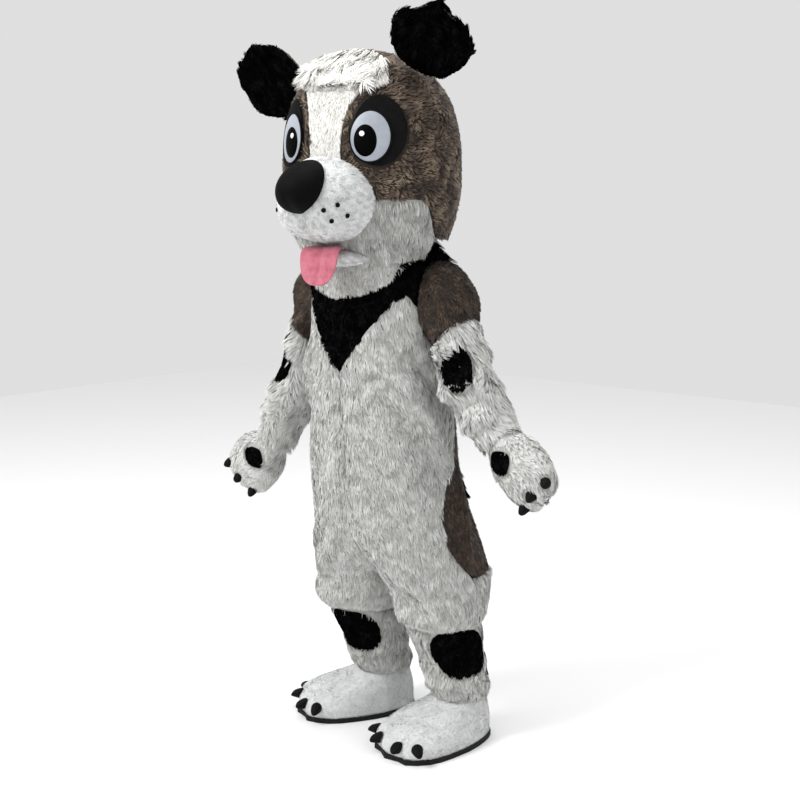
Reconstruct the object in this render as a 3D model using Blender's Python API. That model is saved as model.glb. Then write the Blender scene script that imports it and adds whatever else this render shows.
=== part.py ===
# Dog mascot costume, worn shape: a plush suit with sleeves, paws, boots and tail, and a
# separate hollow head. Metres, +Z up, front towards -Y, the wearer's left is +X.
# Heights in the tables are above the floor. The root empty then lowers everything, so that
# the origin lies where the wearer's shoulders carry the suit.

import math

import bpy
import bmesh
from mathutils import Matrix, Vector

# Driving sizes
SHOULDER_HEIGHT = 1.300
SEAM = 0.0003
PLUSH = 0.006
HEAD_WALL = 0.012
SKIRT_WALL = 0.004
PATCH_WALL = 0.0025
GRID_PATCH_GAP = 0.0006

# Heights and places of the suit's seams
KNEE_HEM = 0.335
CROTCH = 0.430
BROWN_HEM = 0.470
BIB_TIP = 1.010
ZIP_BOTTOM = 0.860
YOKE_HEM = 1.200
NECKLINE = 1.385
ZIP_HALF_WIDTH = 0.005
ARMHOLE = {"s": 0.5, "height": 1.180, "half_s": 0.140, "half_height": 0.105}

# How many grid steps each seam has; panels that meet at a seam share its points
ARMHOLE_QUARTER = 3
BIB_STEPS = 8
YOKE_STEPS = 7
LEG_STEPS = 4
SIDE_STEPS = 13
SHOULDER_STEPS = 3

# Head placing
HEAD_CENTRE = Vector((0.0, -0.050, 1.545))
HEAD_YAW = math.radians(6.0)

COLOURS = {
    "white plush": (0.62, 0.62, 0.59, 0.95),
    "brown plush": (0.060, 0.038, 0.024, 0.95),
    "black plush": (0.006, 0.006, 0.006, 0.90),
    "black felt": (0.008, 0.008, 0.009, 0.85),
    "pink plush": (0.48, 0.13, 0.16, 0.90),
    "white eye fabric": (0.60, 0.64, 0.68, 0.60),
    "black foam sole": (0.012, 0.012, 0.012, 0.70),
    "zip tape": (0.020, 0.020, 0.020, 0.80),
}


def table(columns, *rows):
    # A short table whose columns have names.
    names = columns.split()
    return [dict(zip(names, row)) for row in rows]


SUIT = table(
    "height half_width front back leg_offset",
    (0.335, 0.2310, 0.100, 0.104, 0.1370),
    (0.348, 0.2430, 0.121, 0.123, 0.1355),
    (0.370, 0.2480, 0.133, 0.135, 0.1330),
    (0.400, 0.2465, 0.142, 0.146, 0.1285),
    (0.430, 0.2480, 0.150, 0.156, 0.1240),
    (0.470, 0.2440, 0.160, 0.165, 0.1130),
    (0.520, 0.2360, 0.168, 0.172, 0.0880),
    (0.600, 0.2240, 0.175, 0.174, 0.0300),
    (0.700, 0.2130, 0.175, 0.170, 0.0000),
    (0.800, 0.2070, 0.172, 0.164, 0.0000),
    (0.900, 0.2030, 0.171, 0.160, 0.0000),
    (1.000, 0.1960, 0.170, 0.160, 0.0000),
    (1.080, 0.1900, 0.168, 0.162, 0.0000),
    (1.180, 0.1880, 0.161, 0.164, 0.0000),
    (1.230, 0.1860, 0.154, 0.162, 0.0000),
    (1.275, 0.1720, 0.142, 0.142, 0.0000),
    (1.310, 0.1440, 0.122, 0.116, 0.0000),
    (1.350, 0.1100, 0.100, 0.094, 0.0000),
    (1.385, 0.0950, 0.088, 0.086, 0.0000),
)

# The stance leans: centre line of the suit from ankle to neck
LEAN = table(
    "height y",
    (0.100, 0.100),
    (0.450, 0.075),
    (0.650, 0.025),
    (0.800, 0.000),
    (1.300, -0.010),
)

SIDE_SEAM = table(
    "height s",
    (0.335, 0.500),
    (0.470, 0.500),
    (0.510, 0.455),
    (0.570, 0.410),
    (0.650, 0.410),
    (0.740, 0.500),
    (0.830, 0.590),
    (0.950, 0.590),
    (1.075, 0.500),
)

BIB_EDGE = table(
    "s height",
    (0.000, 1.010),
    (0.080, 1.070),
    (0.160, 1.128),
    (0.240, 1.182),
    (0.305, 1.212),
    (0.335, 1.200),
    (0.360, 1.180),
)

# Soft folds of the suit: a line on the cloth from one place to another, its half width and
# how far it stands out (a negative rise is a trough). s runs from the front to the back.
FOLDS_LEFT = table(
    "s0 height0 s1 height1 half_width rise",
    (0.20, 1.080, 0.58, 0.860, 0.022, 0.009),
    (0.24, 1.110, 0.56, 0.930, 0.016, -0.006),
    (0.22, 0.980, 0.50, 0.780, 0.020, -0.005),
    (0.12, 0.660, 0.40, 0.500, 0.026, 0.007),
    (0.14, 0.580, 0.44, 0.450, 0.020, -0.006),
    (0.62, 0.820, 0.74, 0.520, 0.018, 0.008),
    (0.68, 0.860, 0.84, 0.500, 0.018, -0.007),
    (0.80, 0.800, 0.90, 0.520, 0.018, 0.007),
    (0.66, 1.140, 0.88, 0.930, 0.022, 0.007),
    (0.58, 0.440, 0.92, 0.400, 0.016, 0.006),
)

FOLDS_RIGHT = table(
    "s0 height0 s1 height1 half_width rise",
    (0.16, 1.060, 0.54, 0.880, 0.022, 0.008),
    (0.22, 1.100, 0.55, 0.950, 0.016, -0.005),
    (0.18, 0.900, 0.48, 0.740, 0.022, -0.005),
    (0.10, 0.640, 0.36, 0.480, 0.024, 0.007),
    (0.16, 0.560, 0.46, 0.440, 0.018, -0.006),
    (0.64, 0.840, 0.72, 0.540, 0.018, 0.007),
    (0.70, 0.800, 0.88, 0.520, 0.020, -0.007),
    (0.82, 0.780, 0.88, 0.560, 0.016, 0.006),
    (0.68, 1.120, 0.90, 0.960, 0.022, 0.006),
    (0.56, 0.420, 0.90, 0.430, 0.016, 0.006),
)

SEAM_TROUGH = {"half_width": 0.014, "depth": 0.005}
HALF_GIRTH = 0.58


def smooth_read(rows, key, name, at):
    # One column of a table at any key, smooth between the rows and level past the ends.
    if rows[0][key] > rows[-1][key]:
        rows = rows[::-1]
    if at <= rows[0][key]:
        return rows[0][name]
    if at >= rows[-1][key]:
        return rows[-1][name]
    index = max(i for i in range(len(rows) - 1) if rows[i][key] <= at)
    keys = [row[key] for row in rows]
    values = [row[name] for row in rows]
    slopes = [(values[i + 1] - values[i]) / (keys[i + 1] - keys[i]) for i in range(len(rows) - 1)]

    def tangent(i):
        if i == 0 or i == len(rows) - 1:
            return slopes[min(i, len(slopes) - 1)]
        before, after = slopes[i - 1], slopes[i]
        if before * after <= 0:
            return 0.0
        return 2 * before * after / (before + after)

    span = keys[index + 1] - keys[index]
    t = (at - keys[index]) / span
    return (
        (2 * t**3 - 3 * t**2 + 1) * values[index]
        + (t**3 - 2 * t**2 + t) * span * tangent(index)
        + (-2 * t**3 + 3 * t**2) * values[index + 1]
        + (t**3 - t**2) * span * tangent(index + 1)
    )


def ease(t):
    t = min(max(t, 0.0), 1.0)
    return t * t * (3 - 2 * t)


def lerp(a, b, t):
    return a + (b - a) * t


def steps(count, first=0.0, last=1.0):
    return [lerp(first, last, i / count) for i in range(count + 1)]


def fold_rise(folds, s, height):
    # How far all the folds together lift the cloth at one place.
    rise = 0.0
    for fold in folds:
        start = Vector((fold["s0"] * HALF_GIRTH, fold["height0"]))
        end = Vector((fold["s1"] * HALF_GIRTH, fold["height1"]))
        here = Vector((s * HALF_GIRTH, height))
        along = end - start
        t = min(max((here - start).dot(along) / along.length_squared, 0.0), 1.0)
        distance = (here - start - along * t).length / fold["half_width"]
        rise += fold["rise"] * math.exp(-distance * distance) * (0.35 + 0.65 * math.sin(math.pi * t))
    return rise


def suit_surface(side):
    # The outer surface of one half of the suit. s runs from the centre front (0) round the
    # side to the centre back (1); below the crotch it runs round the leg from the inseam.
    folds = FOLDS_LEFT if side > 0 else FOLDS_RIGHT

    def point(s, height):
        offset = smooth_read(SUIT, "height", "leg_offset", height)
        half = smooth_read(SUIT, "height", "half_width", height) - offset
        parted = offset >= half - 1e-9
        mirrored = 1.0
        if not parted and s < 0.0:
            s, mirrored = -s, -1.0
        if not parted and s > 1.0:
            s, mirrored = 2.0 - s, -1.0
        first = -math.pi / 2 if parted else -math.asin(offset / half)
        angle = first + s * (math.pi - 2 * first)
        deep = smooth_read(SUIT, "height", "front" if math.cos(angle) > 0 else "back", height)
        window = ease(s / 0.10) * ease((1.0 - s) / 0.10)
        window *= ease((height - KNEE_HEM) / 0.03) * ease((NECKLINE - height) / 0.10)
        out = fold_rise(folds, s, height) * window
        crease = math.exp(-((min(abs(s), abs(1 - s)) * HALF_GIRTH / SEAM_TROUGH["half_width"]) ** 2))
        out -= SEAM_TROUGH["depth"] * crease * ease((1.10 - height) / 0.10) * ease((height - 0.5) / 0.1)
        x = offset + (half + out) * math.sin(angle)
        y = smooth_read(LEAN, "height", "y", height) - (deep + out) * math.cos(angle)
        return Vector((side * mirrored * x, y, height))

    return point


def normal_of(surface, u, v, outward=1.0, step=0.004):
    # Outward direction of a surface, from small steps along its two ways.
    across = surface(u + step, v) - surface(u - step, v)
    up = surface(u, v + step) - surface(u, v - step)
    return across.cross(up).normalized() * outward


def armhole_points(first_quarter, last_quarter):
    # Points of the armhole in (s, height); quarters run from its front over its top.
    count = ARMHOLE_QUARTER * (last_quarter - first_quarter)
    points = []
    for i in range(abs(count) + 1):
        turn = (first_quarter + (last_quarter - first_quarter) * i / abs(count)) * math.pi / 2
        points.append((
            ARMHOLE["s"] - ARMHOLE["half_s"] * math.cos(turn),
            ARMHOLE["height"] + ARMHOLE["half_height"] * math.sin(turn),
        ))
    return points


def hem_line(height, first, last, count):
    return [(s, height) for s in steps(count, first, last)]


def upright_line(s, heights):
    return [(s, height) for height in heights]


def leg_heights():
    return [KNEE_HEM, 0.352, 0.388, CROTCH, BROWN_HEM]


def side_line():
    # The side seam, knee to armhole.
    low = [(0.5, height) for height in leg_heights()]
    heights = steps(SIDE_STEPS, BROWN_HEM, ARMHOLE["height"] - ARMHOLE["half_height"])
    return low + [(smooth_read(SIDE_SEAM, "height", "s", h), h) for h in heights[1:]]


def front_line():
    heights = leg_heights() + steps(SIDE_STEPS, BROWN_HEM, BIB_TIP)[1:]
    return upright_line(0.0, heights)


def back_heights():
    low = steps(SIDE_STEPS - 5, BROWN_HEM, ZIP_BOTTOM)
    return low + steps(5, ZIP_BOTTOM, YOKE_HEM)[1:]


def yoke_heights():
    return steps(ARMHOLE_QUARTER + SHOULDER_STEPS, YOKE_HEM, NECKLINE)


def back_edge(heights):
    # The centre back edge: closed below the zip and parted above it to let the zip in.
    surface = suit_surface(1)
    edge = []
    for height in heights:
        around = (surface(1.0, height) - surface(0.99, height)).length / 0.01
        parting = ZIP_HALF_WIDTH * ease((height - ZIP_BOTTOM + 0.03) / 0.03)
        edge.append((1.0 - parting / around, height))
    return edge


def bib_line():
    places = steps(BIB_STEPS, BIB_EDGE[0]["s"], BIB_EDGE[-1]["s"])
    return [(s, smooth_read(BIB_EDGE, "s", "height", s)) for s in places]


def yoke_line():
    front = ARMHOLE["s"] + ARMHOLE["half_s"]
    end = back_edge([YOKE_HEM])[0][0]
    points = []
    for t in steps(YOKE_STEPS):
        points.append((lerp(front, end, t), lerp(ARMHOLE["height"], YOKE_HEM, ease(t))))
    return points


def panel_between(bottom, top, left, right):
    # Rows of (s, height) that fill the space inside four seams.
    columns, rows = len(bottom) - 1, len(left) - 1
    grid = []
    for r in range(rows + 1):
        v = r / rows
        line = []
        for c in range(columns + 1):
            u = c / columns
            place = []
            for k in range(2):
                sides = (1 - u) * left[r][k] + u * right[r][k]
                ends = (1 - v) * bottom[c][k] + v * top[c][k]
                corners = (
                    (1 - u) * (1 - v) * bottom[0][k] + u * (1 - v) * bottom[-1][k]
                    + (1 - u) * v * top[0][k] + u * v * top[-1][k]
                )
                place.append(sides + ends - corners)
            line.append(tuple(place))
        grid.append(line)
    return grid


def grid_faces(rows, columns, closed=False):
    # Quads of a grid of rows and columns of points; closed joins the last column to the first.
    width = columns if closed else columns + 1
    faces = []
    for r in range(rows):
        for c in range(columns):
            right = (c + 1) % width
            faces.append((r * width + c, r * width + right, (r + 1) * width + right, (r + 1) * width + c))
    return faces


def material_named(name):
    if name in bpy.data.materials:
        return bpy.data.materials[name]
    red, green, blue, roughness = COLOURS[name]
    material = bpy.data.materials.new(name)
    material.use_nodes = True
    shader = material.node_tree.nodes["Principled BSDF"]
    shader.inputs["Base Color"].default_value = (red, green, blue, 1.0)
    shader.inputs["Roughness"].default_value = roughness
    shader.inputs["Metallic"].default_value = 0.0
    return material


def add_object(name, bm, material):
    mesh = bpy.data.meshes.new(name)
    bm.to_mesh(mesh)
    bm.free()
    for polygon in mesh.polygons:
        polygon.use_smooth = True
    mesh.materials.append(material_named(material))
    piece = bpy.data.objects.new(name, mesh)
    piece.parent = ROOT
    bpy.context.scene.collection.objects.link(piece)
    return piece


def merge_same(outer, inner, faces):
    # Points at one place become one point, so that a tip or a pole closes.
    kept, index_of, places = [], {}, []
    for i, point in enumerate(outer):
        key = tuple(round(value, 6) for value in point)
        if key not in index_of:
            index_of[key] = len(kept)
            kept.append(i)
        places.append(index_of[key])
    clean = []
    for face in faces:
        corners = []
        for i in face:
            if places[i] not in corners:
                corners.append(places[i])
        if len(corners) > 2:
            clean.append(corners)
    return [outer[i] for i in kept], [inner[i] for i in kept], clean


def seam_order(point):
    # Both sides of a seam split their twisted edge faces the same way by this order.
    return point.z + 0.37 * point.x + 0.61 * point.y


def edge_shift(bm):
    # For each point on an open edge, the step that pulls it half a seam inwards.
    shifts = {}
    for vert in bm.verts:
        rims = [edge for edge in vert.link_edges if edge.is_boundary]
        if len(rims) < 2:
            continue
        inward = []
        for edge in rims:
            face = edge.link_faces[0]
            along = (edge.verts[1].co - edge.verts[0].co).normalized()
            side = face.normal.cross(along)
            if side.dot(face.calc_center_median() - edge.verts[0].co) < 0:
                side.negate()
            inward.append(side)
        middle = (inward[0] + inward[1]).normalized()
        reach = max(middle.dot(inward[0]), 0.4)
        shifts[vert] = middle * (SEAM / 2 / reach)
    return shifts


def closed_wall(name, outer, inner, faces, material, inset=True):
    # A wall between an outer and an inner sheet of the same points, closed along its edges.
    outer, inner, faces = merge_same(outer, inner, faces)
    bm = bmesh.new()
    outside = [bm.verts.new(point) for point in outer]
    for face in faces:
        bm.faces.new([outside[i] for i in face])
    bm.normal_update()
    rim_faces = {edge: edge.link_faces[0] for edge in bm.edges if edge.is_boundary}
    shifts = edge_shift(bm) if inset else {}
    inside = []
    for vert, point in zip(outside, inner):
        inside.append(bm.verts.new(point + shifts.get(vert, Vector((0, 0, 0)))))
    for vert, shift in shifts.items():
        vert.co += shift
    partner = dict(zip(outside, inside))
    for face in faces:
        bm.faces.new([inside[i] for i in reversed(face)])
    for edge, face in rim_faces.items():
        loop = next(loop for loop in face.loops if loop.edge == edge)
        a, b = loop.vert, loop.link_loop_next.vert
        if seam_order(a.co) < seam_order(b.co):
            bm.faces.new([b, a, partner[b]])
            bm.faces.new([a, partner[a], partner[b]])
        else:
            bm.faces.new([b, a, partner[a]])
            bm.faces.new([b, partner[a], partner[b]])
    bmesh.ops.recalc_face_normals(bm, faces=bm.faces[:])
    if bm.calc_volume(signed=True) < 0:
        bmesh.ops.reverse_faces(bm, faces=bm.faces[:])
    return add_object(name, bm, material)


def panel(name, surface, grid, wall, material, outward=1.0, closed=False):
    # A plush panel: its rows of places on a surface, and its wall turned inwards.
    outer, inner = [], []
    for line in grid:
        for u, v in line:
            point = surface(u, v)
            outer.append(point)
            inner.append(point - normal_of(surface, u, v, outward) * wall)
    columns = len(grid[0]) if closed else len(grid[0]) - 1
    return closed_wall(name, outer, inner, grid_faces(len(grid) - 1, columns, closed), material)


def scale_at(surface, u, v, step=0.004):
    # Metres per unit of u and of v at one place.
    per_u = (surface(u + step, v) - surface(u - step, v)).length / (2 * step)
    per_v = (surface(u, v + step) - surface(u, v - step)).length / (2 * step)
    return per_u, per_v


def make_paw_patch(name, surface, outward, rings=2, spokes=10):
    # The pointed black patch on the back of a paw, its points the paw's own, moved out.
    u0, v0 = PAW_PATCH["centre"]
    per_u, per_v = scale_at(surface, u0, v0)
    outer, inner = [], []
    for ring in range(rings + 1):
        reach = ring / rings
        for spoke in range(spokes):
            angle = 2 * math.pi * spoke / spokes
            across = math.copysign(abs(math.cos(angle)) ** PAW_PATCH["corner"], math.cos(angle))
            up = math.copysign(abs(math.sin(angle)) ** PAW_PATCH["corner"], math.sin(angle))
            u = u0 + reach * PAW_PATCH["half_across"] * across / per_u
            v = v0 + reach * PAW_PATCH["half_up"] * up / per_v
            point = surface(u, v)
            normal = normal_of(surface, u, v, outward)
            outer.append(point + normal * (PAW_PATCH["gap"] + PATCH_WALL))
            inner.append(point + normal * PAW_PATCH["gap"])
    closed_wall(name, outer, inner, grid_faces(rings, spokes, True), "black plush", inset=False)


def make_suit(side):
    # The plush panels of one half of the suit.
    word = "left" if side > 0 else "right"
    surface = suit_surface(side)
    bottom = hem_line(KNEE_HEM, 0.0, 0.5, BIB_STEPS + ARMHOLE_QUARTER)
    top = bib_line() + armhole_points(0, -1)[1:]
    grid = panel_between(bottom, top, front_line(), side_line())
    panel(f"front_{word}", surface, grid, PLUSH, "white plush", side)

    bottom = hem_line(BROWN_HEM, 0.5, 1.0, ARMHOLE_QUARTER + YOKE_STEPS)
    top = armhole_points(3, 2)
    top += yoke_line()[1:]
    grid = panel_between(bottom, top, side_line()[LEG_STEPS:], back_edge(back_heights()))
    panel(f"back_{word}", surface, grid, PLUSH, "brown plush", side)

    bottom = hem_line(KNEE_HEM, 0.5, 1.0, ARMHOLE_QUARTER + YOKE_STEPS)
    top = hem_line(BROWN_HEM, 0.5, 1.0, ARMHOLE_QUARTER + YOKE_STEPS)
    grid = panel_between(bottom, top, side_line()[:LEG_STEPS + 1], upright_line(1.0, leg_heights()))
    panel(f"back_leg_{word}", surface, grid, PLUSH, "white plush", side)

    shoulder = upright_line(0.5, steps(SHOULDER_STEPS, ARMHOLE["height"] + ARMHOLE["half_height"], NECKLINE))
    left = armhole_points(2, 1) + shoulder[1:]
    bottom = yoke_line()
    top = hem_line(NECKLINE, 0.5, back_edge([NECKLINE])[0][0], YOKE_STEPS)
    grid = panel_between(bottom, top, left, back_edge(yoke_heights()))
    panel(f"yoke_{word}", surface, grid, PLUSH, "black plush", side)


def make_bib():
    # The long-pile black bib in one piece across the chest, from armhole to armhole.
    left, right = suit_surface(1), suit_surface(-1)

    def surface(s, height):
        return left(s, height) if s >= 0 else right(-s, height)

    shoulder = upright_line(0.5, steps(SHOULDER_STEPS, ARMHOLE["height"] + ARMHOLE["half_height"], NECKLINE))
    edge = armhole_points(0, 1) + shoulder[1:]
    hem = bib_line()
    bottom = [(-s, height) for s, height in reversed(hem)] + hem[1:]
    top = hem_line(NECKLINE, -0.5, 0.5, 2 * BIB_STEPS)
    grid = panel_between(bottom, top, [(-s, height) for s, height in edge], edge)
    panel("bib", surface, grid, PLUSH, "black plush")


def make_zip():
    # The zip's tape fills the slit between the back panels, neck to waist.
    left = suit_surface(1)
    heights = steps(5, ZIP_BOTTOM, YOKE_HEM) + yoke_heights()[1:]
    edges = back_edge(heights)
    grid = [[(2.0 - s, height), (1.0, height), (s, height)] for s, height in edges]
    panel("zip", left, grid, 0.002, "zip tape", -1.0)


# Sleeve sections, shoulder to wrist: the line under the arm and the line over it
SLEEVE = table(
    "under_x under_height over_x over_height y fore_aft",
    (0.1920, 1.0700, 0.2060, 1.2930, 0.000, 0.084),
    (0.1935, 1.0660, 0.2400, 1.2740, 0.000, 0.083),
    (0.1950, 1.0600, 0.2640, 1.2320, 0.000, 0.081),
    (0.1965, 1.0500, 0.2800, 1.1520, -0.002, 0.079),
    (0.1990, 1.0300, 0.2930, 1.1060, -0.003, 0.074),
    (0.2060, 1.0000, 0.3080, 1.0720, -0.004, 0.078),
    (0.2200, 0.9700, 0.3220, 1.0360, -0.006, 0.073),
    (0.2420, 0.9400, 0.3430, 1.0000, -0.008, 0.077),
    (0.2700, 0.9120, 0.3650, 0.9720, -0.010, 0.071),
    (0.2960, 0.8850, 0.3860, 0.9460, -0.012, 0.072),
    (0.3220, 0.8600, 0.4030, 0.9200, -0.014, 0.064),
    (0.3420, 0.8420, 0.4160, 0.9000, -0.015, 0.056),
)
CAP_ROWS = 3
# The wearer's right arm hangs lower than the left one
ARM_DROP = {1: 0.0, -1: 0.095}
SLEEVE_COLUMNS = 4 * ARMHOLE_QUARTER


def sleeve_surface(side):
    # u is the turn round the arm in quarters, starting at its front; v counts the sections.
    rows = [dict(row, section=float(i + 1)) for i, row in enumerate(SLEEVE)]
    body = suit_surface(side)

    def point(u, v):
        turn = u * math.pi / 2
        if v < 1.0:
            s = ARMHOLE["s"] - ARMHOLE["half_s"] * math.cos(turn)
            height = ARMHOLE["height"] + ARMHOLE["half_height"] * math.sin(turn)
            seat = body(s, height)
            seat.x += side * 0.0004
            if v <= 0.0:
                return seat
            return seat.lerp(point(u, 1.0), v)
        under = Vector([smooth_read(rows, "section", name, v) for name in ("under_x", "y", "under_height")])
        over = Vector([smooth_read(rows, "section", name, v) for name in ("over_x", "y", "over_height")])
        middle = (under + over) / 2
        fore_aft = smooth_read(rows, "section", "fore_aft", v)
        place = middle + (over - middle) * math.sin(turn) + Vector((0, -fore_aft * math.cos(turn), 0))
        drop = ARM_DROP[side] * ease((v - CAP_ROWS) / (2 * (len(SLEEVE) - CAP_ROWS))) * 2
        return Vector((side * place.x, place.y, place.z - drop))

    return point


def make_sleeve(side):
    word = "left" if side > 0 else "right"
    surface = sleeve_surface(side)
    turns = [4 * i / SLEEVE_COLUMNS for i in range(SLEEVE_COLUMNS)]

    def rows(first, last):
        return [[(u, float(v)) for u in turns] for v in range(first, last + 1)]

    panel(f"sleeve_cap_{word}", surface, rows(0, CAP_ROWS + 1), PLUSH, "brown plush", -side, closed=True)
    arm_rows = rows(CAP_ROWS + 1, len(SLEEVE))
    panel(f"sleeve_{word}", surface, arm_rows, PLUSH, "white plush", -side, closed=True)
    grid_patch(f"elbow_patch_{word}", surface, rows(0, len(SLEEVE)), (0, 2), (5, 8), "black plush", -side)


# The lower legs, knee hem to ankle
CALF = table(
    "height wide deep",
    (0.1249, 0.069, 0.075),
    (0.1380, 0.077, 0.083),
    (0.1600, 0.084, 0.090),
    (0.1850, 0.076, 0.082),
    (0.2150, 0.087, 0.092),
    (0.2500, 0.083, 0.088),
    (0.2900, 0.092, 0.098),
    (0.3200, 0.095, 0.101),
    (0.3341, 0.091, 0.098),
)
CALF_COLUMNS = 20
KNEE = Vector((0.137, 0.080, KNEE_HEM))
STANCE = {
    1: {"ankle": Vector((0.155, 0.135, 0.0)), "yaw": math.radians(-14.0)},
    -1: {"ankle": Vector((-0.140, 0.165, 0.0)), "yaw": math.radians(-38.0)},
}


def calf_surface(side):
    def point(s, height):
        angle = -math.pi / 2 + 2 * math.pi * s
        wide = smooth_read(CALF, "height", "wide", height)
        deep = smooth_read(CALF, "height", "deep", height)
        ankle = Vector((side * STANCE[side]["ankle"].x, STANCE[side]["ankle"].y, height))
        up = (height - CALF[0]["height"]) / (KNEE.z - CALF[0]["height"])
        middle = ankle.lerp(Vector((KNEE.x, KNEE.y, height)), up)
        return Vector((side * (middle.x + wide * math.sin(angle)), middle.y - deep * math.cos(angle), height))

    return point


def make_calf(side):
    word = "left" if side > 0 else "right"
    surface = calf_surface(side)
    grid = [[(c / CALF_COLUMNS, row["height"]) for c in range(CALF_COLUMNS)] for row in CALF]
    panel(f"calf_{word}", surface, grid, PLUSH, "white plush", side, closed=True)


CALF_PATCHES = table(
    "name side first_column last_column first_row last_row",
    ("knee_patch_left", 1, 6, 11, 4, 7),
    ("calf_patch_left", 1, 12, 16, 2, 5),
    ("knee_patch_right", -1, 2, 7, 4, 7),
    ("calf_patch_right", -1, 12, 16, 3, 6),
)


def grid_patch(name, surface, grid, columns, rows, material, outward):
    # A patch with cut corners made from a panel's own grid points, moved out.
    block = [[grid[r][c % len(grid[r])] for c in range(columns[0], columns[1] + 1)]
             for r in range(rows[0], rows[1] + 1)]
    outer, inner = [], []
    for line in block:
        for u, v in line:
            point = surface(u, v)
            normal = normal_of(surface, u, v, outward)
            outer.append(point + normal * (GRID_PATCH_GAP + PATCH_WALL))
            inner.append(point + normal * GRID_PATCH_GAP)
    wide, high = len(block[0]) - 1, len(block) - 1
    faces = grid_faces(high, wide)
    width = wide + 1
    corners = {0: 0, wide - 1: 1, (high - 1) * wide: 3, high * wide - 1: 2}
    faces = [tuple(i for k, i in enumerate(face) if corners.get(number) != k)
             for number, face in enumerate(faces)]
    used = sorted({i for face in faces for i in face})
    order = {old: new for new, old in enumerate(used)}
    faces = [tuple(order[i] for i in face) for face in faces]
    closed_wall(name, [outer[i] for i in used], [inner[i] for i in used], faces, material, inset=False)


def make_calf_patches():
    for row in CALF_PATCHES:
        grid = [[(c / CALF_COLUMNS, level["height"]) for c in range(CALF_COLUMNS)] for level in CALF]
        grid_patch(row["name"], calf_surface(row["side"]), grid, (row["first_column"], row["last_column"]),
                   (row["first_row"], row["last_row"]), "black plush", row["side"])


# The paws: mittens from the wrist to the tips, thin towards the fingers
PAW = {"wrist": Vector((0.3760, -0.015, 0.8740)), "tip": Vector((0.5240, -0.020, 0.7320))}
PAW_ROWS = table(
    "along half_wide half_thick",
    (0.00, 0.0380, 0.0455),
    (0.13, 0.0390, 0.0470),
    (0.27, 0.0650, 0.0550),
    (0.36, 0.0750, 0.0540),
    (0.58, 0.0820, 0.0510),
    (0.78, 0.0780, 0.0440),
    (0.92, 0.0630, 0.0350),
    (0.985, 0.0390, 0.0220),
)
PAW_COLUMNS = 16
FINGERS = 3
PAW_WALL = 0.005
PAW_PATCH = {"centre": (0.25, 0.34), "half_across": 0.026, "half_up": 0.022, "corner": 1.3, "gap": 0.0008}
PAW_CLAW = {"half_width": 0.011, "length": 0.014, "droop": 0.004, "along": 0.90}
PAW_CLAW_PLACES = ((0.10, 0.0012), (0.25, 0.0012), (0.40, 0.0012))


def paw_surface(side):
    along = PAW["tip"] - PAW["wrist"]
    length = along.length
    along = along.normalized()
    back = Vector((-0.25, -0.97, 0.0))
    back = (back - along * back.dot(along)).normalized()
    across = along.cross(back)

    def point(u, v):
        turn = u * 2 * math.pi
        wide = smooth_read(PAW_ROWS, "along", "half_wide", v)
        thick = smooth_read(PAW_ROWS, "along", "half_thick", v)
        groove = 0.5 + 0.5 * math.cos(FINGERS * math.pi * (1 - math.cos(turn)))
        thick *= 1.0 - 0.16 * (1 - groove) * ease((v - 0.45) / 0.4) * abs(math.sin(turn))
        reach = length * (v - 0.05 * (1 - groove) * ease((v - 0.6) / 0.4))
        place = PAW["wrist"] + along * reach + across * wide * math.cos(turn) + back * thick * math.sin(turn)
        return Vector((side * place.x, place.y, place.z - ARM_DROP[side]))

    return point


def make_paw(side):
    word = "left" if side > 0 else "right"
    surface = paw_surface(side)
    heights = [row["along"] for row in PAW_ROWS]
    outer, inner = [], []
    for v in heights:
        for c in range(PAW_COLUMNS):
            u = c / PAW_COLUMNS
            point = surface(u, v)
            normal = normal_of(surface, u, min(max(v, 0.01), 0.975), -side)
            outer.append(point)
            inner.append(point - normal * PAW_WALL)
    faces = grid_faces(len(heights) - 1, PAW_COLUMNS, True)
    tip = surface(0.25, 1.0).lerp(surface(0.75, 1.0), 0.5)
    along = (tip - surface(0.25, 0.0).lerp(surface(0.75, 0.0), 0.5)).normalized()
    last = (len(heights) - 1) * PAW_COLUMNS
    outer.append(tip)
    inner.append(tip - along * PAW_WALL * 1.2)
    faces += [(last + c, last + (c + 1) % PAW_COLUMNS, len(outer) - 1) for c in range(PAW_COLUMNS)]
    closed_wall(f"paw_{word}", outer, inner, faces, "white plush")
    make_paw_patch(f"paw_patch_{word}", surface, -side)
    for number, (u, gap) in enumerate(PAW_CLAW_PLACES):
        claw(f"paw_claw_{word}_{number + 1}", surface, (u, PAW_CLAW["along"]), PAW_CLAW, -side, gap)


def claw(name, surface, centre, size, outward, gap):
    # A stuffed claw: a rounded cone seated on the paw or boot, its tip pulled by the droop.
    u0, v0 = centre
    per_u, per_v = scale_at(surface, u0, v0)
    normal = normal_of(surface, u0, v0, outward)
    pull = Vector((0.0, 0.0, -size["droop"]))
    outer, inner = [], []
    spokes = 7
    for reach, rise in ((0.0, 1.0), (0.62, 0.74), (1.0, 0.04)):
        for spoke in range(spokes):
            angle = 2 * math.pi * spoke / spokes
            u = u0 + size["half_width"] * math.cos(angle) * reach / per_u
            v = v0 + size["half_width"] * math.sin(angle) * reach / per_v
            foot = surface(u, v)
            outer.append(foot + normal * (gap + size["length"] * rise) + pull * rise * rise)
            inner.append(foot + normal * gap)
    closed_wall(name, outer, inner, grid_faces(2, spokes, True), "black felt", inset=False)


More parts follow.
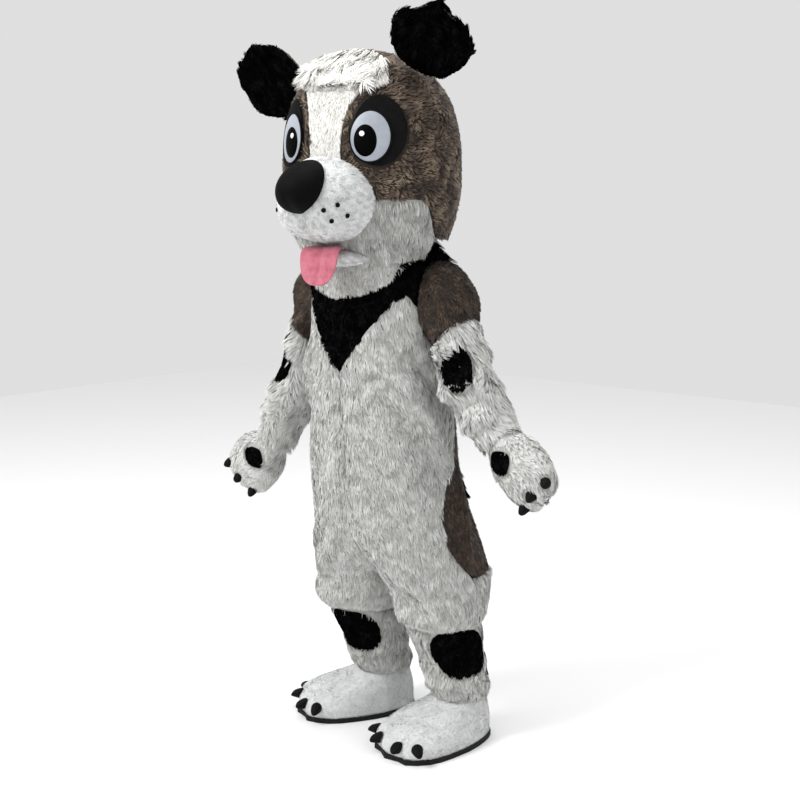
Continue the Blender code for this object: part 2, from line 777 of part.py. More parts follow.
# The boots: the outline of the sole round its centre, and the rise from it to the ankle
BOOT = {
    "length": 0.345, "toe_width": 0.245, "heel_width": 0.155, "toes": 4, "lobe": 0.013, "ahead": 0.22,
    "wall": 0.007, "ankle_wide": 0.066, "ankle_deep": 0.072, "toe_groove": 0.012, "sole_edge": 0.003,
}
BOOT_CLAW = {"half_width": 0.013, "length": 0.026, "droop": 0.012, "rise": 0.30}
BOOT_CLAW_PLACES = ((-0.115, 0.0008), (-0.04, 0.0018), (0.04, 0.0008), (0.115, 0.0008))
BOOT_ROWS = table(
    "rise in_towards_ankle up",
    (0.00, 0.000, 0.0130),
    (0.20, -0.030, 0.0340),
    (0.40, 0.020, 0.0580),
    (0.58, 0.200, 0.0770),
    (0.74, 0.460, 0.0900),
    (0.88, 0.760, 0.1040),
    (1.00, 1.000, 0.1245),
)
BOOT_COLUMNS = 26
SOLE_HEIGHT = 0.0125


def boot_outline(turn, grow=0.0):
    # Sole outline about the ankle: the toes at a turn of 0, the heel at half a turn.
    angle = turn * 2 * math.pi
    forward = math.cos(angle)
    middle = -BOOT["length"] * BOOT["ahead"]
    half_long = BOOT["length"] / 2
    ahead = 0.5 + 0.5 * forward
    half_wide = lerp(BOOT["heel_width"], BOOT["toe_width"], ease(ahead)) / 2
    lobes = BOOT["lobe"] * abs(math.cos(BOOT["toes"] * math.pi * math.sin(angle) / 2))
    lobes *= ease((forward - 0.35) / 0.4)
    x = (half_wide + grow) * math.copysign(abs(math.sin(angle)) ** 0.8, math.sin(angle))
    y = middle - (half_long - BOOT["lobe"] + lobes + grow) * math.copysign(abs(forward) ** 0.8, forward)
    return x, y


def boot_surface(side):
    place = STANCE[side]
    turned = Matrix.Rotation(place["yaw"], 3, "Z")

    def point(u, v):
        inward = smooth_read(BOOT_ROWS, "rise", "in_towards_ankle", v)
        up = smooth_read(BOOT_ROWS, "rise", "up", v)
        sole_x, sole_y = boot_outline(u)
        angle = u * 2 * math.pi
        ankle_x, ankle_y = BOOT["ankle_wide"] * math.sin(angle), -BOOT["ankle_deep"] * math.cos(angle)
        toes = abs(math.cos(BOOT["toes"] * math.pi * math.sin(angle) / 2)) - 1
        toes *= ease((math.cos(angle) - 0.35) / 0.4) * math.sin(math.pi * min(v / 0.8, 1.0))
        up += BOOT["toe_groove"] * toes
        offset = Vector((lerp(sole_x, ankle_x, inward), lerp(sole_y, ankle_y, inward), up))
        return place["ankle"] + turned @ offset

    return point


def make_boot(side):
    word = "left" if side > 0 else "right"
    surface = boot_surface(side)
    grid = [[(c / BOOT_COLUMNS, row["rise"]) for c in range(BOOT_COLUMNS)] for row in BOOT_ROWS]
    panel(f"foot_{word}", surface, grid, BOOT["wall"], "white plush", closed=True)

    place = STANCE[side]
    turned = Matrix.Rotation(place["yaw"], 3, "Z")
    bm = bmesh.new()
    ring = []
    for c in range(BOOT_COLUMNS):
        x, y = boot_outline(c / BOOT_COLUMNS, BOOT["sole_edge"])
        ring.append(bm.verts.new(place["ankle"] + turned @ Vector((x, y, 0.0))))
    base = bm.faces.new(ring)
    top = bmesh.ops.extrude_face_region(bm, geom=[base])
    moved = [item for item in top["geom"] if isinstance(item, bmesh.types.BMVert)]
    bmesh.ops.translate(bm, verts=moved, vec=(0, 0, SOLE_HEIGHT))
    bmesh.ops.recalc_face_normals(bm, faces=bm.faces[:])
    add_object(f"sole_{word}", bm, "black foam sole")
    for number, (u, gap) in enumerate(BOOT_CLAW_PLACES):
        claw(f"foot_claw_{word}_{number + 1}", surface, (u, BOOT_CLAW["rise"]), BOOT_CLAW, 1.0, gap)


# The tail, a stuffed brush sewn to the seat
TAIL = table(
    "along y height radius",
    (0.10, 0.190, 0.790, 0.026),
    (0.30, 0.224, 0.748, 0.030),
    (0.50, 0.254, 0.690, 0.037),
    (0.70, 0.284, 0.620, 0.045),
    (0.85, 0.298, 0.560, 0.043),
    (0.95, 0.300, 0.510, 0.028),
    (1.00, 0.300, 0.486, 0.010),
)


TAIL_SEAT = {"height": 0.800, "radius": 0.026, "gap": 0.0010, "sunk": 0.0020}


def make_tail():
    body = suit_surface(1)
    columns = 10
    seat_height, seat_radius = TAIL_SEAT["height"], TAIL_SEAT["radius"]
    around = (body(1.0, seat_height) - body(0.99, seat_height)).length / 0.01
    rings = []
    seat = []
    for c in range(columns):
        angle = 2 * math.pi * c / columns
        s = 1.0 - seat_radius * math.cos(angle) / around
        height = seat_height + seat_radius * math.sin(angle)
        seat.append(body(s, height) + normal_of(body, s, height) * TAIL_SEAT["gap"])
    rings.append(seat)
    for i, row in enumerate(TAIL):
        before = TAIL[max(i - 1, 0)]
        after = TAIL[min(i + 1, len(TAIL) - 1)]
        along = Vector((0, after["y"] - before["y"], after["height"] - before["height"])).normalized()
        over = Vector((0, -along.z, along.y))
        middle = Vector((0, row["y"], row["height"]))
        ring = []
        for c in range(columns):
            angle = 2 * math.pi * c / columns
            ring.append(middle + Vector((row["radius"] * math.cos(angle), 0, 0))
                        + over * row["radius"] * math.sin(angle))
        rings.append(ring)
    bm = bmesh.new()
    points = [[bm.verts.new(point) for point in ring] for ring in rings]
    for r in range(len(points) - 1):
        for c in range(columns):
            right = (c + 1) % columns
            bm.faces.new((points[r][c], points[r][right], points[r + 1][right], points[r + 1][c]))
    for ring in (points[0], points[-1]):
        centre = bm.verts.new(sum((vert.co for vert in ring), Vector()) / columns)
        if ring is points[0]:
            centre.co.y = body(1.0, seat_height).y + TAIL_SEAT["sunk"]
        for c in range(columns):
            bm.faces.new((ring[c], ring[(c + 1) % columns], centre))
    bmesh.ops.recalc_face_normals(bm, faces=bm.faces[:])
    add_object("tail", bm, "black plush")


# The head: sections above and below its centre
HEAD = table(
    "height half_width front back",
    (-0.270, 0.145, 0.130, 0.140),
    (-0.240, 0.172, 0.150, 0.165),
    (-0.190, 0.205, 0.175, 0.195),
    (-0.120, 0.226, 0.187, 0.218),
    (-0.040, 0.232, 0.190, 0.226),
    (0.040, 0.226, 0.187, 0.222),
    (0.110, 0.207, 0.178, 0.207),
    (0.170, 0.170, 0.155, 0.180),
    (0.210, 0.125, 0.120, 0.140),
    (0.235, 0.072, 0.075, 0.082),
    (0.246, 0.034, 0.036, 0.040),
    (0.250, 0.000, 0.000, 0.000),
)
HEAD_TURN = Matrix.Rotation(HEAD_YAW, 3, "Z")

# The white blaze: half its angle at each height; the brown shell has the same rows
BLAZE = table(
    "height half_angle",
    (-0.110, 13.0),
    (-0.060, 12.0),
    (0.000, 11.0),
    (0.060, 12.0),
    (0.110, 17.0),
    (0.150, 28.0),
    (0.180, 42.0),
    (0.205, 54.0),
    (0.222, 50.0),
    (0.235, 0.0),
    (0.246, 0.0),
    (0.250, 0.0),
)
BLAZE_COLUMNS = 6
BROWN_COLUMNS = 28
RUFF_BOTTOM = -0.252
BROWN_BOTTOM = -0.205
CHEEK_COLUMNS = 6


def head_surface(lon, height):
    # Outer surface of the head; lon in degrees, 0 at the face, growing to the wearer's left.
    angle = math.radians(lon)
    wide = smooth_read(HEAD, "height", "half_width", height)
    deep = smooth_read(HEAD, "height", "front" if math.cos(angle) > 0 else "back", height)
    place = Vector((wide * math.sin(angle), -deep * math.cos(angle), height))
    return HEAD_CENTRE + HEAD_TURN @ place


def head_normal(lon, height):
    if height > 0.249:
        return Vector((0.0, 0.0, 1.0))
    across = head_surface(lon + 1.0, height) - head_surface(lon - 1.0, height)
    up = head_surface(lon, min(height + 0.003, 0.2499)) - head_surface(lon, height - 0.003)
    return across.cross(up).normalized()


def head_wall(name, places, faces, wall, material):
    outer = [head_surface(lon, height) for lon, height in places]
    inner = [point - head_normal(*place) * wall for point, place in zip(outer, places)]
    return closed_wall(name, outer, inner, faces, material)


def brown_bottom(column):
    # Bottom edge of the brown shell: high over the cheeks' ruff, low round the back.
    from_front = min(column, BROWN_COLUMNS - column)
    return BLAZE[0]["height"] if from_front < CHEEK_COLUMNS else BROWN_BOTTOM


def brown_lon(column, half_angle):
    return half_angle + (360.0 - 2 * half_angle) * column / BROWN_COLUMNS


def make_head_shell():
    top = BLAZE[-1]["height"]
    base = BLAZE[0]["height"]
    places = []
    for row in BLAZE:
        for column in range(BROWN_COLUMNS + 1):
            bottom = brown_bottom(column)
            height = bottom + (row["height"] - base) / (top - base) * (top - bottom)
            places.append((brown_lon(column, row["half_angle"]) % 360.0, height))
    faces = grid_faces(len(BLAZE) - 1, BROWN_COLUMNS)
    head_wall("head_shell", places, faces, HEAD_WALL, "brown plush")

    rows = [row for row in BLAZE if row["half_angle"] > 0] + [BLAZE[-3]]
    places = []
    for row in rows:
        for lon in steps(BLAZE_COLUMNS, -row["half_angle"], row["half_angle"]):
            places.append((lon, row["height"]))
    head_wall("blaze", places, grid_faces(len(rows) - 1, BLAZE_COLUMNS), HEAD_WALL, "white plush")


def make_ruff():
    # The white cheek ruff, under the brown shell and the blaze from cheek to cheek.
    half = BLAZE[0]["half_angle"]
    right = [(brown_lon(c, half), brown_bottom(c)) for c in range(CHEEK_COLUMNS + 1)]
    left = [(-lon, height) for lon, height in reversed(right)]
    middle = [(lon, BLAZE[0]["height"]) for lon in steps(BLAZE_COLUMNS, -half, half)]
    top = left + middle[1:-1] + right
    places = []
    rows = 4
    for r in range(rows + 1):
        for lon, height in top:
            places.append((lon, lerp(RUFF_BOTTOM, height, r / rows)))
    head_wall("ruff", places, grid_faces(rows, len(top) - 1), HEAD_WALL, "white plush")


# The muzzle, a foam block covered in short pile: its outline on the face and its reach
MUZZLE = {
    "height": -0.112, "half_width": 0.128, "half_height": 0.104,
    "reach": 0.098, "jowl": 0.016, "gap": 0.0012,
}
JAW = {
    "height": -0.250, "half_width": 0.086, "half_height": 0.0215,
    "reach": 0.038, "jowl": 0.0, "gap": 0.0012,
}


def face_base(x, height, gap):
    # How far forward the face lies at one place, and a gap more.
    wide = smooth_read(HEAD, "height", "half_width", height)
    deep = smooth_read(HEAD, "height", "front", height)
    return -deep * math.sqrt(max(1 - (x / wide) ** 2, 0.0)) - gap


def block_point(block, across, up):
    # A point on the front of a foam block; across and up run from -1 to 1 in its round outline.
    reach = math.sqrt(min(across * across + up * up, 1.0))
    x = block["half_width"] * across
    height = block["height"] + block["half_height"] * up
    dome = max(1.0 - reach**2.6, 0.0) ** 0.5
    jowls = math.exp(-(((abs(across) - 0.42) / 0.30) ** 2 + ((up + 0.42) / 0.42) ** 2))
    cleft = math.exp(-((across / 0.10) ** 2)) * ease((0.1 - up) / 0.5)
    out = block["reach"] * dome * (1 - 0.20 * ease((up - 0.1) / 0.9))
    out += block["jowl"] * (jowls - 0.75 * cleft) * min(dome * 1.6, 1.0)
    y = face_base(x, height, block["gap"]) - 0.004 - out
    return HEAD_CENTRE + HEAD_TURN @ Vector((x, y, height))


def make_block(name, block, rings, spokes, material):
    outer, inner = [], []
    for ring in range(rings + 1):
        reach = math.sin(ring / rings * math.pi / 2)
        for spoke in range(spokes):
            angle = 2 * math.pi * spoke / spokes
            across, up = reach * math.cos(angle), reach * math.sin(angle)
            outer.append(block_point(block, across, up))
            x = block["half_width"] * across
            height = block["height"] + block["half_height"] * up
            y = face_base(x, height, block["gap"])
            inner.append(HEAD_CENTRE + HEAD_TURN @ Vector((x, y, height)))
    closed_wall(name, outer, inner, grid_faces(rings, spokes, True), material, inset=False)


NOSE = {
    "up": 0.30, "half_width": 0.50, "half_height": 0.62,
    "gap": 0.0030, "reach": 0.044, "edge": 0.006, "upturn": 0.12,
}


def make_nose(rings=4, spokes=16):
    # The stuffed black oval on the muzzle's front, its edge standing on the short pile.
    forward = HEAD_TURN @ Vector((0.0, -1.0, NOSE["upturn"]))
    outer, inner = [], []
    for ring in range(rings + 1):
        reach = math.sin(ring / rings * math.pi / 2)
        for spoke in range(spokes):
            angle = 2 * math.pi * spoke / spokes
            across = NOSE["half_width"] * reach * math.cos(angle)
            up = NOSE["up"] + NOSE["half_height"] * reach * math.sin(angle)
            base = block_point(MUZZLE, across, up)
            swell = math.sqrt(max(1.0 - reach * reach, 0.0))
            rise = NOSE["edge"] + (NOSE["reach"] - NOSE["gap"]) * swell
            outer.append(base + forward * (NOSE["gap"] + rise))
            inner.append(base + forward * NOSE["gap"])
    closed_wall("nose", outer, inner, grid_faces(rings, spokes, True), "black felt", inset=False)


def head_patch(name, side, shape, material, rings=3, spokes=18):
    # An oval on the head's own surface, such as an eye or the felt behind it.
    lon, height, turn = side * shape["lon"], shape["height"], -side * shape["turn"]
    per_lon = (head_surface(lon + 1, height) - head_surface(lon - 1, height)).length / 2
    per_height = (head_surface(lon, height + 0.004) - head_surface(lon, height - 0.004)).length / 0.008
    outer, inner = [], []
    for ring in range(rings + 1):
        reach = ring / rings
        for spoke in range(spokes):
            angle = 2 * math.pi * spoke / spokes
            across = reach * shape["half_width"] * math.cos(angle)
            up = reach * shape["half_height"] * math.sin(angle)
            turned = (
                across * math.cos(turn) - up * math.sin(turn),
                across * math.sin(turn) + up * math.cos(turn),
            )
            place = (lon + turned[0] / per_lon, height + turned[1] / per_height)
            point, normal = head_surface(*place), head_normal(*place)
            swell = shape["crown"] * math.sqrt(max(1.0 - reach * reach, 0.0))
            outer.append(point + normal * (shape["gap"] + shape["wall"] + swell))
            inner.append(point + normal * shape["gap"])
    closed_wall(name, outer, inner, grid_faces(rings, spokes, True), material, inset=False)


EYE = {
    "lon": 31.0, "height": 0.036, "half_width": 0.050, "half_height": 0.062, "turn": 0.14,
    "gap": 0.0042, "wall": 0.0020, "crown": 0.005,
}
EYE_PATCH = {
    "lon": 37.0, "height": 0.050, "half_width": 0.068, "half_height": 0.086, "turn": 0.22,
    "gap": 0.0014, "wall": 0.0020, "crown": 0.0,
}


def make_face():
    make_nose()
    for side, word in ((1, "left"), (-1, "right")):
        head_patch(f"eye_patch_{word}", side, EYE_PATCH, "black felt")
        head_patch(f"eye_{word}", side, EYE, "white eye fabric")


# The tongue comes out over the lower jaw and hangs in front of it
TONGUE = {"half_width": 0.058, "wall": 0.0075}
TONGUE_ROWS = table(
    "forward height slope width",
    (-0.172, -0.2222, 0.00, 0.90),
    (-0.190, -0.2222, 0.10, 0.96),
    (-0.206, -0.2250, 0.50, 1.00),
    (-0.2130, -0.2360, 0.85, 1.00),
    (-0.2160, -0.2520, 0.95, 1.00),
    (-0.2200, -0.2730, 0.97, 0.94),
    (-0.2240, -0.2940, 0.97, 0.80),
    (-0.2260, -0.3090, 0.97, 0.52),
    (-0.2265, -0.3140, 0.97, 0.22),
)


def make_tongue():
    columns = 8
    outer, inner = [], []
    for row in TONGUE_ROWS:
        facing = Vector((0, -row["slope"], 1 - row["slope"])).normalized()
        for c in range(columns + 1):
            across = 2 * c / columns - 1
            crease = 0.004 * math.exp(-((across / 0.22) ** 2))
            crown = 0.003 * (1 - across * across)
            middle = Vector((TONGUE["half_width"] * across * row["width"], row["forward"], row["height"]))
            outer.append(HEAD_CENTRE + HEAD_TURN @ (middle + facing * (crown - crease)))
            inner.append(HEAD_CENTRE + HEAD_TURN @ (middle - facing * TONGUE["wall"]))
    closed_wall("tongue", outer, inner, grid_faces(len(TONGUE_ROWS) - 1, columns), "pink plush", inset=False)


# The ears: padded flaps, their root on the shell, standing out and folding forwards
EAR = {
    "root": Vector((0.172, -0.022, 0.150)), "along": Vector((0.36, -0.20, 0.90)),
    "wide": Vector((0.94, 0.34, 0.0)), "length": 0.210, "thick": 0.016, "curl": 0.055,
}
# The left ear stands up; the right one has sunk outwards by this angle
EAR_DROOP = {"left": 0.0, "right": math.radians(52.0)}
EAR_ROWS = table(
    "along half_width",
    (0.00, 0.052),
    (0.20, 0.088),
    (0.45, 0.112),
    (0.66, 0.112),
    (0.82, 0.098),
    (0.92, 0.074),
    (0.98, 0.044),
    (1.00, 0.020),
)


def head_clearance(point):
    # How far outside the shell a point of the head's own frame lies, nearly.
    if point.z >= HEAD[-1]["height"]:
        return 1.0
    wide = smooth_read(HEAD, "height", "half_width", point.z)
    deep = smooth_read(HEAD, "height", "front" if point.y < 0 else "back", point.z)
    return (math.hypot(point.x / wide, point.y / deep) - 1.0) * min(wide, deep) * 0.7


def make_ear(side):
    word = "left" if side > 0 else "right"
    mirror = Vector((side, 1.0, 1.0))
    root, along, wide = EAR["root"] * mirror, EAR["along"] * mirror, EAR["wide"] * mirror
    along.normalize()
    wide = (wide - along * wide.dot(along)).normalized()
    droop = EAR_DROOP[word]
    along, wide = (
        along * math.cos(droop) + wide * math.sin(droop),
        wide * math.cos(droop) - along * math.sin(droop),
    )
    face = wide.cross(along).normalized()
    if face.y > 0:
        face.negate()

    def two_sides(t, across):
        half = smooth_read(EAR_ROWS, "along", "half_width", t)
        fold = EAR["curl"] * ease((t - 0.45) / 0.55)
        reach = EAR["length"] * (t - 0.10 * ease((t - 0.5) / 0.5) * across * across)
        cup = 0.030 * (across * across - 0.4) * math.sin(math.pi * min(max(t, 0.0) + 0.15, 1.0))
        middle = root + along * reach + wide * half * across + face * (fold + cup)
        thick = EAR["thick"] * (0.45 + 0.55 * math.sqrt(max(1 - across**4, 0.0)))
        return middle + face * thick / 2, middle - face * thick / 2

    def seat(across):
        # Where the flap meets the shell, found by walking from its middle to its root.
        t = 0.6
        while t > -0.5 and min(head_clearance(point) for point in two_sides(t, across)) > 0.0:
            t -= 0.004
        return t + 0.004

    columns, rows = 8, 9
    seats = [seat(2 * c / columns - 1) for c in range(columns + 1)]
    outer, inner = [], []
    for r in range(rows + 1):
        for c in range(columns + 1):
            t = lerp(seats[c], 1.0, math.sin(r / rows * math.pi / 2))
            front, back = two_sides(t, 2 * c / columns - 1)
            outer.append(HEAD_CENTRE + HEAD_TURN @ front)
            inner.append(HEAD_CENTRE + HEAD_TURN @ back)
    closed_wall(f"ear_{word}", outer, inner, grid_faces(rows, columns), "black plush", inset=False)


# The white skirt that hangs from the head's rim over the suit's collar
SKIRT = table(
    "turn hem_height rim_height",
    (0.0, 1.196, -0.252),
    (40.0, 1.225, -0.252),
    (68.0, 1.300, -0.252),
    (90.0, 1.322, -0.225),
    (110.0, 1.318, -0.205),
    (180.0, 1.310, -0.205),
)
SKIRT_COLUMNS = 28
SKIRT_ROWS = 4
SKIRT_TUCK = 0.020
SKIRT_SLACK = 0.0036
HEM_GAP = 0.0026


def make_skirt():
    bodies = {1: suit_surface(1), -1: suit_surface(-1)}
    outer, inner = [], []
    for r in range(SKIRT_ROWS + 3):
        for c in range(SKIRT_COLUMNS):
            turn = 360.0 * c / SKIRT_COLUMNS
            side = 1 if turn <= 180.0 else -1
            around = turn if side > 0 else 360.0 - turn
            hem_place = (around / 180.0, smooth_read(SKIRT, "turn", "hem_height", around))
            hem = bodies[side](*hem_place)
            hem += normal_of(bodies[side], *hem_place, side) * (HEM_GAP + SKIRT_WALL)
            rim_height = smooth_read(SKIRT, "turn", "rim_height", around)
            lon = turn - math.degrees(HEAD_YAW)

            def under_head(height):
                return head_surface(lon, height) - head_normal(lon, height) * (HEAD_WALL + SKIRT_SLACK)

            rim = under_head(rim_height - 0.004)
            if r <= SKIRT_ROWS:
                point = hem.lerp(rim, r / SKIRT_ROWS)
            else:
                point = under_head(rim_height + SKIRT_TUCK * (r - SKIRT_ROWS) / 2)
            flat = Vector((point.x, point.y + 0.03, 0.0)).normalized()
            outer.append(point)
            inner.append(point - flat * SKIRT_WALL)
    closed_wall("neck_skirt", outer, inner, grid_faces(SKIRT_ROWS + 2, SKIRT_COLUMNS, True), "white plush",
                inset=False)


for old in list(bpy.data.objects):
    bpy.data.objects.remove(old)

ROOT = bpy.data.objects.new("costume", None)
ROOT.location = (0.0, 0.0, -SHOULDER_HEIGHT)
bpy.context.scene.collection.objects.link(ROOT)

for half in (1, -1):
    make_suit(half)
    make_sleeve(half)
    make_calf(half)
    make_paw(half)
    make_boot(half)
    make_ear(half)
make_bib()
make_zip()
make_calf_patches()
make_tail()
make_head_shell()
make_ruff()
make_block("muzzle", MUZZLE, 6, 22, "white plush")
make_block("jaw", JAW, 4, 16, "white plush")
make_face()
make_tongue()
make_skirt()
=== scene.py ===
import math

import bmesh
import bpy
import numpy as np
from mathutils import Matrix, Vector
from mathutils.bvhtree import BVHTree
from mathutils.kdtree import KDTree


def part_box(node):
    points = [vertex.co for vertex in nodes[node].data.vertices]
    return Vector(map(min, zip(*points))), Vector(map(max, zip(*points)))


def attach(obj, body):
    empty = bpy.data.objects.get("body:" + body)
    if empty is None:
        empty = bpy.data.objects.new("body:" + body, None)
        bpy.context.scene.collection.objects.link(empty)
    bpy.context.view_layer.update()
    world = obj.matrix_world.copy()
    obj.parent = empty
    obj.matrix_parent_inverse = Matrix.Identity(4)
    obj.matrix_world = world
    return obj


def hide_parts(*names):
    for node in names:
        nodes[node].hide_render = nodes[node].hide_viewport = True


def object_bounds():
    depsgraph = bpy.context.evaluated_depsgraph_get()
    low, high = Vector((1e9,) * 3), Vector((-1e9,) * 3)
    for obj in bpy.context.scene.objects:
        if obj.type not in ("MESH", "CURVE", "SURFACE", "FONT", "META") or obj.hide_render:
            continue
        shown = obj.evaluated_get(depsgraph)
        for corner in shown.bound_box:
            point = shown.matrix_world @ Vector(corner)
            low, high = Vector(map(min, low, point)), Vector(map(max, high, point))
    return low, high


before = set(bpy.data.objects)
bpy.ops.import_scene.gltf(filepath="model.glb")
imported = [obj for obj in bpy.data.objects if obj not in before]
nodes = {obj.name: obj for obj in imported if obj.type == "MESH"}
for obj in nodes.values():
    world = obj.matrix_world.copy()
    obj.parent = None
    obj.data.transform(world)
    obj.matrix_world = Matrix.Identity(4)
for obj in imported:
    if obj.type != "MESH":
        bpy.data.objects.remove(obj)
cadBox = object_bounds()
print("frame loaded:", len(nodes), "nodes")


# the camera stands where the photograph was taken from, a little right of the front
cameraSet = {"turn": 40.0, "pitch": 9.0, "distance": 3.35, "right": 0.043, "height": 0.15, "lens": 58.77}
turn = math.radians(cameraSet["turn"])
cameraData = bpy.data.cameras.new("camera")
cameraData.lens = cameraSet["lens"]
cameraData.sensor_width = 36.0
camera = bpy.data.objects.new("camera", cameraData)
camera.location = (
    math.sin(turn) * cameraSet["distance"] + math.cos(turn) * cameraSet["right"],
    -math.cos(turn) * cameraSet["distance"] + math.sin(turn) * cameraSet["right"],
    cameraSet["height"],
)
camera.rotation_euler = (math.radians(90.0 - cameraSet["pitch"]), 0.0, turn)
bpy.context.scene.collection.objects.link(camera)
bpy.context.scene.camera = camera


def linear(hexColour):
    # sRGB hex to the linear colour that the shaders take
    parts = [int(hexColour[i:i + 2], 16) / 255 for i in (1, 3, 5)]
    return tuple(c / 12.92 if c <= 0.04045 else ((c + 0.055) / 1.055) ** 2.4 for c in parts) + (1.0,)


def addNode(tree, kind, settings=None, links=None):
    # one shader node, its values and what feeds it; stops are for a colour ramp
    node = tree.nodes.new("ShaderNode" + kind)
    for key, value in (settings or {}).items():
        if key == "stops":
            ramp = node.color_ramp
            while len(ramp.elements) < len(value):
                ramp.elements.new(0.5)
            for element, (place, colour) in zip(ramp.elements, value):
                element.position = place
                element.color = linear(colour)
        elif isinstance(key, int) or key in node.inputs:
            node.inputs[key].default_value = value
        else:
            setattr(node, key, value)
    for key, source in (links or {}).items():
        tree.links.new(source, node.inputs[key])
    return node


def newMaterial(name, values):
    material = bpy.data.materials.new(name)
    material.use_nodes = True
    shader = material.node_tree.nodes["Principled BSDF"]
    for key, value in values.items():
        shader.inputs[key].default_value = value
    return material, material.node_tree, shader


def furMaterial(name, tones, root, values):
    # pile fibres: tone is each lock's own dye, along runs from its root to its tip, and the root colour is
    # painted shade that darkens each strand towards its root
    material, tree, shader = newMaterial(name, values)
    tone = addNode(tree, "Attribute", {"attribute_name": "tone"})
    along = addNode(tree, "Attribute", {"attribute_name": "along"})
    dye = addNode(tree, "ValToRGB", {"stops": tones}, {"Fac": tone.outputs["Fac"]})
    # painted shade in the pile's depths: the root colour darkens the strand at its root and fades out three
    # quarters of the way up
    depth = addNode(tree, "ValToRGB", {"stops": ((0.0, root), (0.75, "#ffffff"))},
                    {"Fac": along.outputs["Fac"]})
    mixed = addNode(tree, "Mix", {"data_type": "RGBA", "blend_type": "MULTIPLY", 0: 1.0},
                    {6: dye.outputs["Color"], 7: depth.outputs["Color"]})
    tree.links.new(mixed.outputs[2], shader.inputs["Base Color"])
    return material


def plushMaterial(name, tones, fleckSize, pileSize, bump, values):
    # short pile or felt: flecks of dye over fibre bumps, sizes in metres
    material, tree, shader = newMaterial(name, values)
    place = addNode(tree, "TexCoord")
    fleck = addNode(tree, "TexNoise", {"Scale": 1.0 / fleckSize, "Detail": 5.0, "Roughness": 0.65},
                    {"Vector": place.outputs["Object"]})
    dye = addNode(tree, "ValToRGB", {"stops": tones}, {"Fac": fleck.outputs["Fac"]})
    tree.links.new(dye.outputs["Color"], shader.inputs["Base Color"])
    pile = addNode(tree, "TexNoise", {"Scale": 1.0 / pileSize, "Detail": 3.0},
                   {"Vector": place.outputs["Object"]})
    raised = addNode(tree, "Bump", {"Strength": bump, "Distance": pileSize},
                     {"Height": pile.outputs["Fac"]})
    tree.links.new(raised.outputs["Normal"], shader.inputs["Normal"])
    return material


# long-pile acrylic fur, white: matt, its locks greyer in their depths with painted shade
whiteFur = furMaterial("white acrylic long pile", ((0.0, "#969693"), (0.45, "#bcbcb9"), (1.0, "#e2e3e0")),
                       "#cfcfcc", {"Roughness": 0.85, "Sheen Weight": 0.12})
# the head's white fur is brushed longer and reads a little brighter
whiteTuft = furMaterial("white acrylic brushed pile", ((0.0, "#d2d1cb"), (0.5, "#ebeae6"), (1.0, "#fbfbf9")),
                        "#c9c8c1", {"Roughness": 0.85, "Sheen Weight": 0.15})
# the head's brown fur, space-dyed: dark roots under olive-tan tips make the mottle, and the roots are
# darkened further with painted shade
brownFur = furMaterial("brown mottled acrylic pile",
                       ((0.0, "#34291f"), (0.35, "#514237"), (0.7, "#6e5d4e"), (1.0, "#8f816b")),
                       "#5c534c", {"Roughness": 0.8, "Sheen Weight": 0.12})
# the suit's brown plush is short and dark, and catches light only along its folds
brownNap = furMaterial("brown short plush nap", ((0.0, "#1a120c"), (0.5, "#35281d"), (1.0, "#6b5541")),
                       "#7a7066", {"Roughness": 0.75, "Sheen Weight": 0.08})
# long black pile: nearly no colour; its roots darkened with painted shade, so that its tips read a little
# greyer as a painted sheen
blackFur = furMaterial("black acrylic long pile", ((0.0, "#030303"), (0.6, "#090909"), (1.0, "#19191a")),
                       "#505050", {"Roughness": 0.8, "Specular IOR Level": 0.0})
# short white pile on the boots and muzzle, slightly cool
whitePile = furMaterial("white short clipped pile", ((0.0, "#bfc0bf"), (0.5, "#e2e3e3"), (1.0, "#f8f9f9")),
                        "#cfcfcd", {"Roughness": 0.9, "Sheen Weight": 0.2})

# fur backings darker than their pile: painted shade where the backing lies in shadow between the strands
shadedWhiteKnit = plushMaterial("white fur backing in painted shade", ((0.3, "#9b9b97"), (0.7, "#b2b2ae")), 0.030, 0.003, 0.6,
                          {"Roughness": 0.95})
shadedBrownKnit = plushMaterial("brown fur backing in painted shade", ((0.3, "#1c140e"), (0.7, "#2e2319")), 0.030, 0.003, 0.6,
                          {"Roughness": 0.95})
blackKnit = plushMaterial("black fur backing", ((0.3, "#020202"), (0.7, "#050505")), 0.030, 0.003, 0.6,
                          {"Roughness": 0.9, "Specular IOR Level": 0.08})
clippedKnit = plushMaterial("clipped pile backing", ((0.3, "#c9cbca"), (0.7, "#e0e2e1")), 0.040, 0.0025, 0.7,
                            {"Roughness": 0.95, "Sheen Weight": 0.2})
# felt under the eyes: dense, dull, faintly fibrous
blackFelt = plushMaterial("black wool felt", ((0.3, "#070708"), (0.7, "#101012")), 0.012, 0.0022, 0.5,
                          {"Roughness": 0.95, "Specular IOR Level": 0.12})
# nose velvet: deep black and dull
noseVelvet = plushMaterial("black cotton velvet", ((0.3, "#020202"), (0.7, "#040404")), 0.020, 0.0018, 0.20,
                           {"Roughness": 0.7, "Specular IOR Level": 0.07})
# tongue fleece: pink, brushed, faintly uneven in its dye
tongueFleece = plushMaterial("pink polyester fleece", ((0.3, "#a3505e"), (0.7, "#bd6f80")), 0.022, 0.0025,
                             0.5, {"Roughness": 0.9, "Sheen Weight": 0.1})
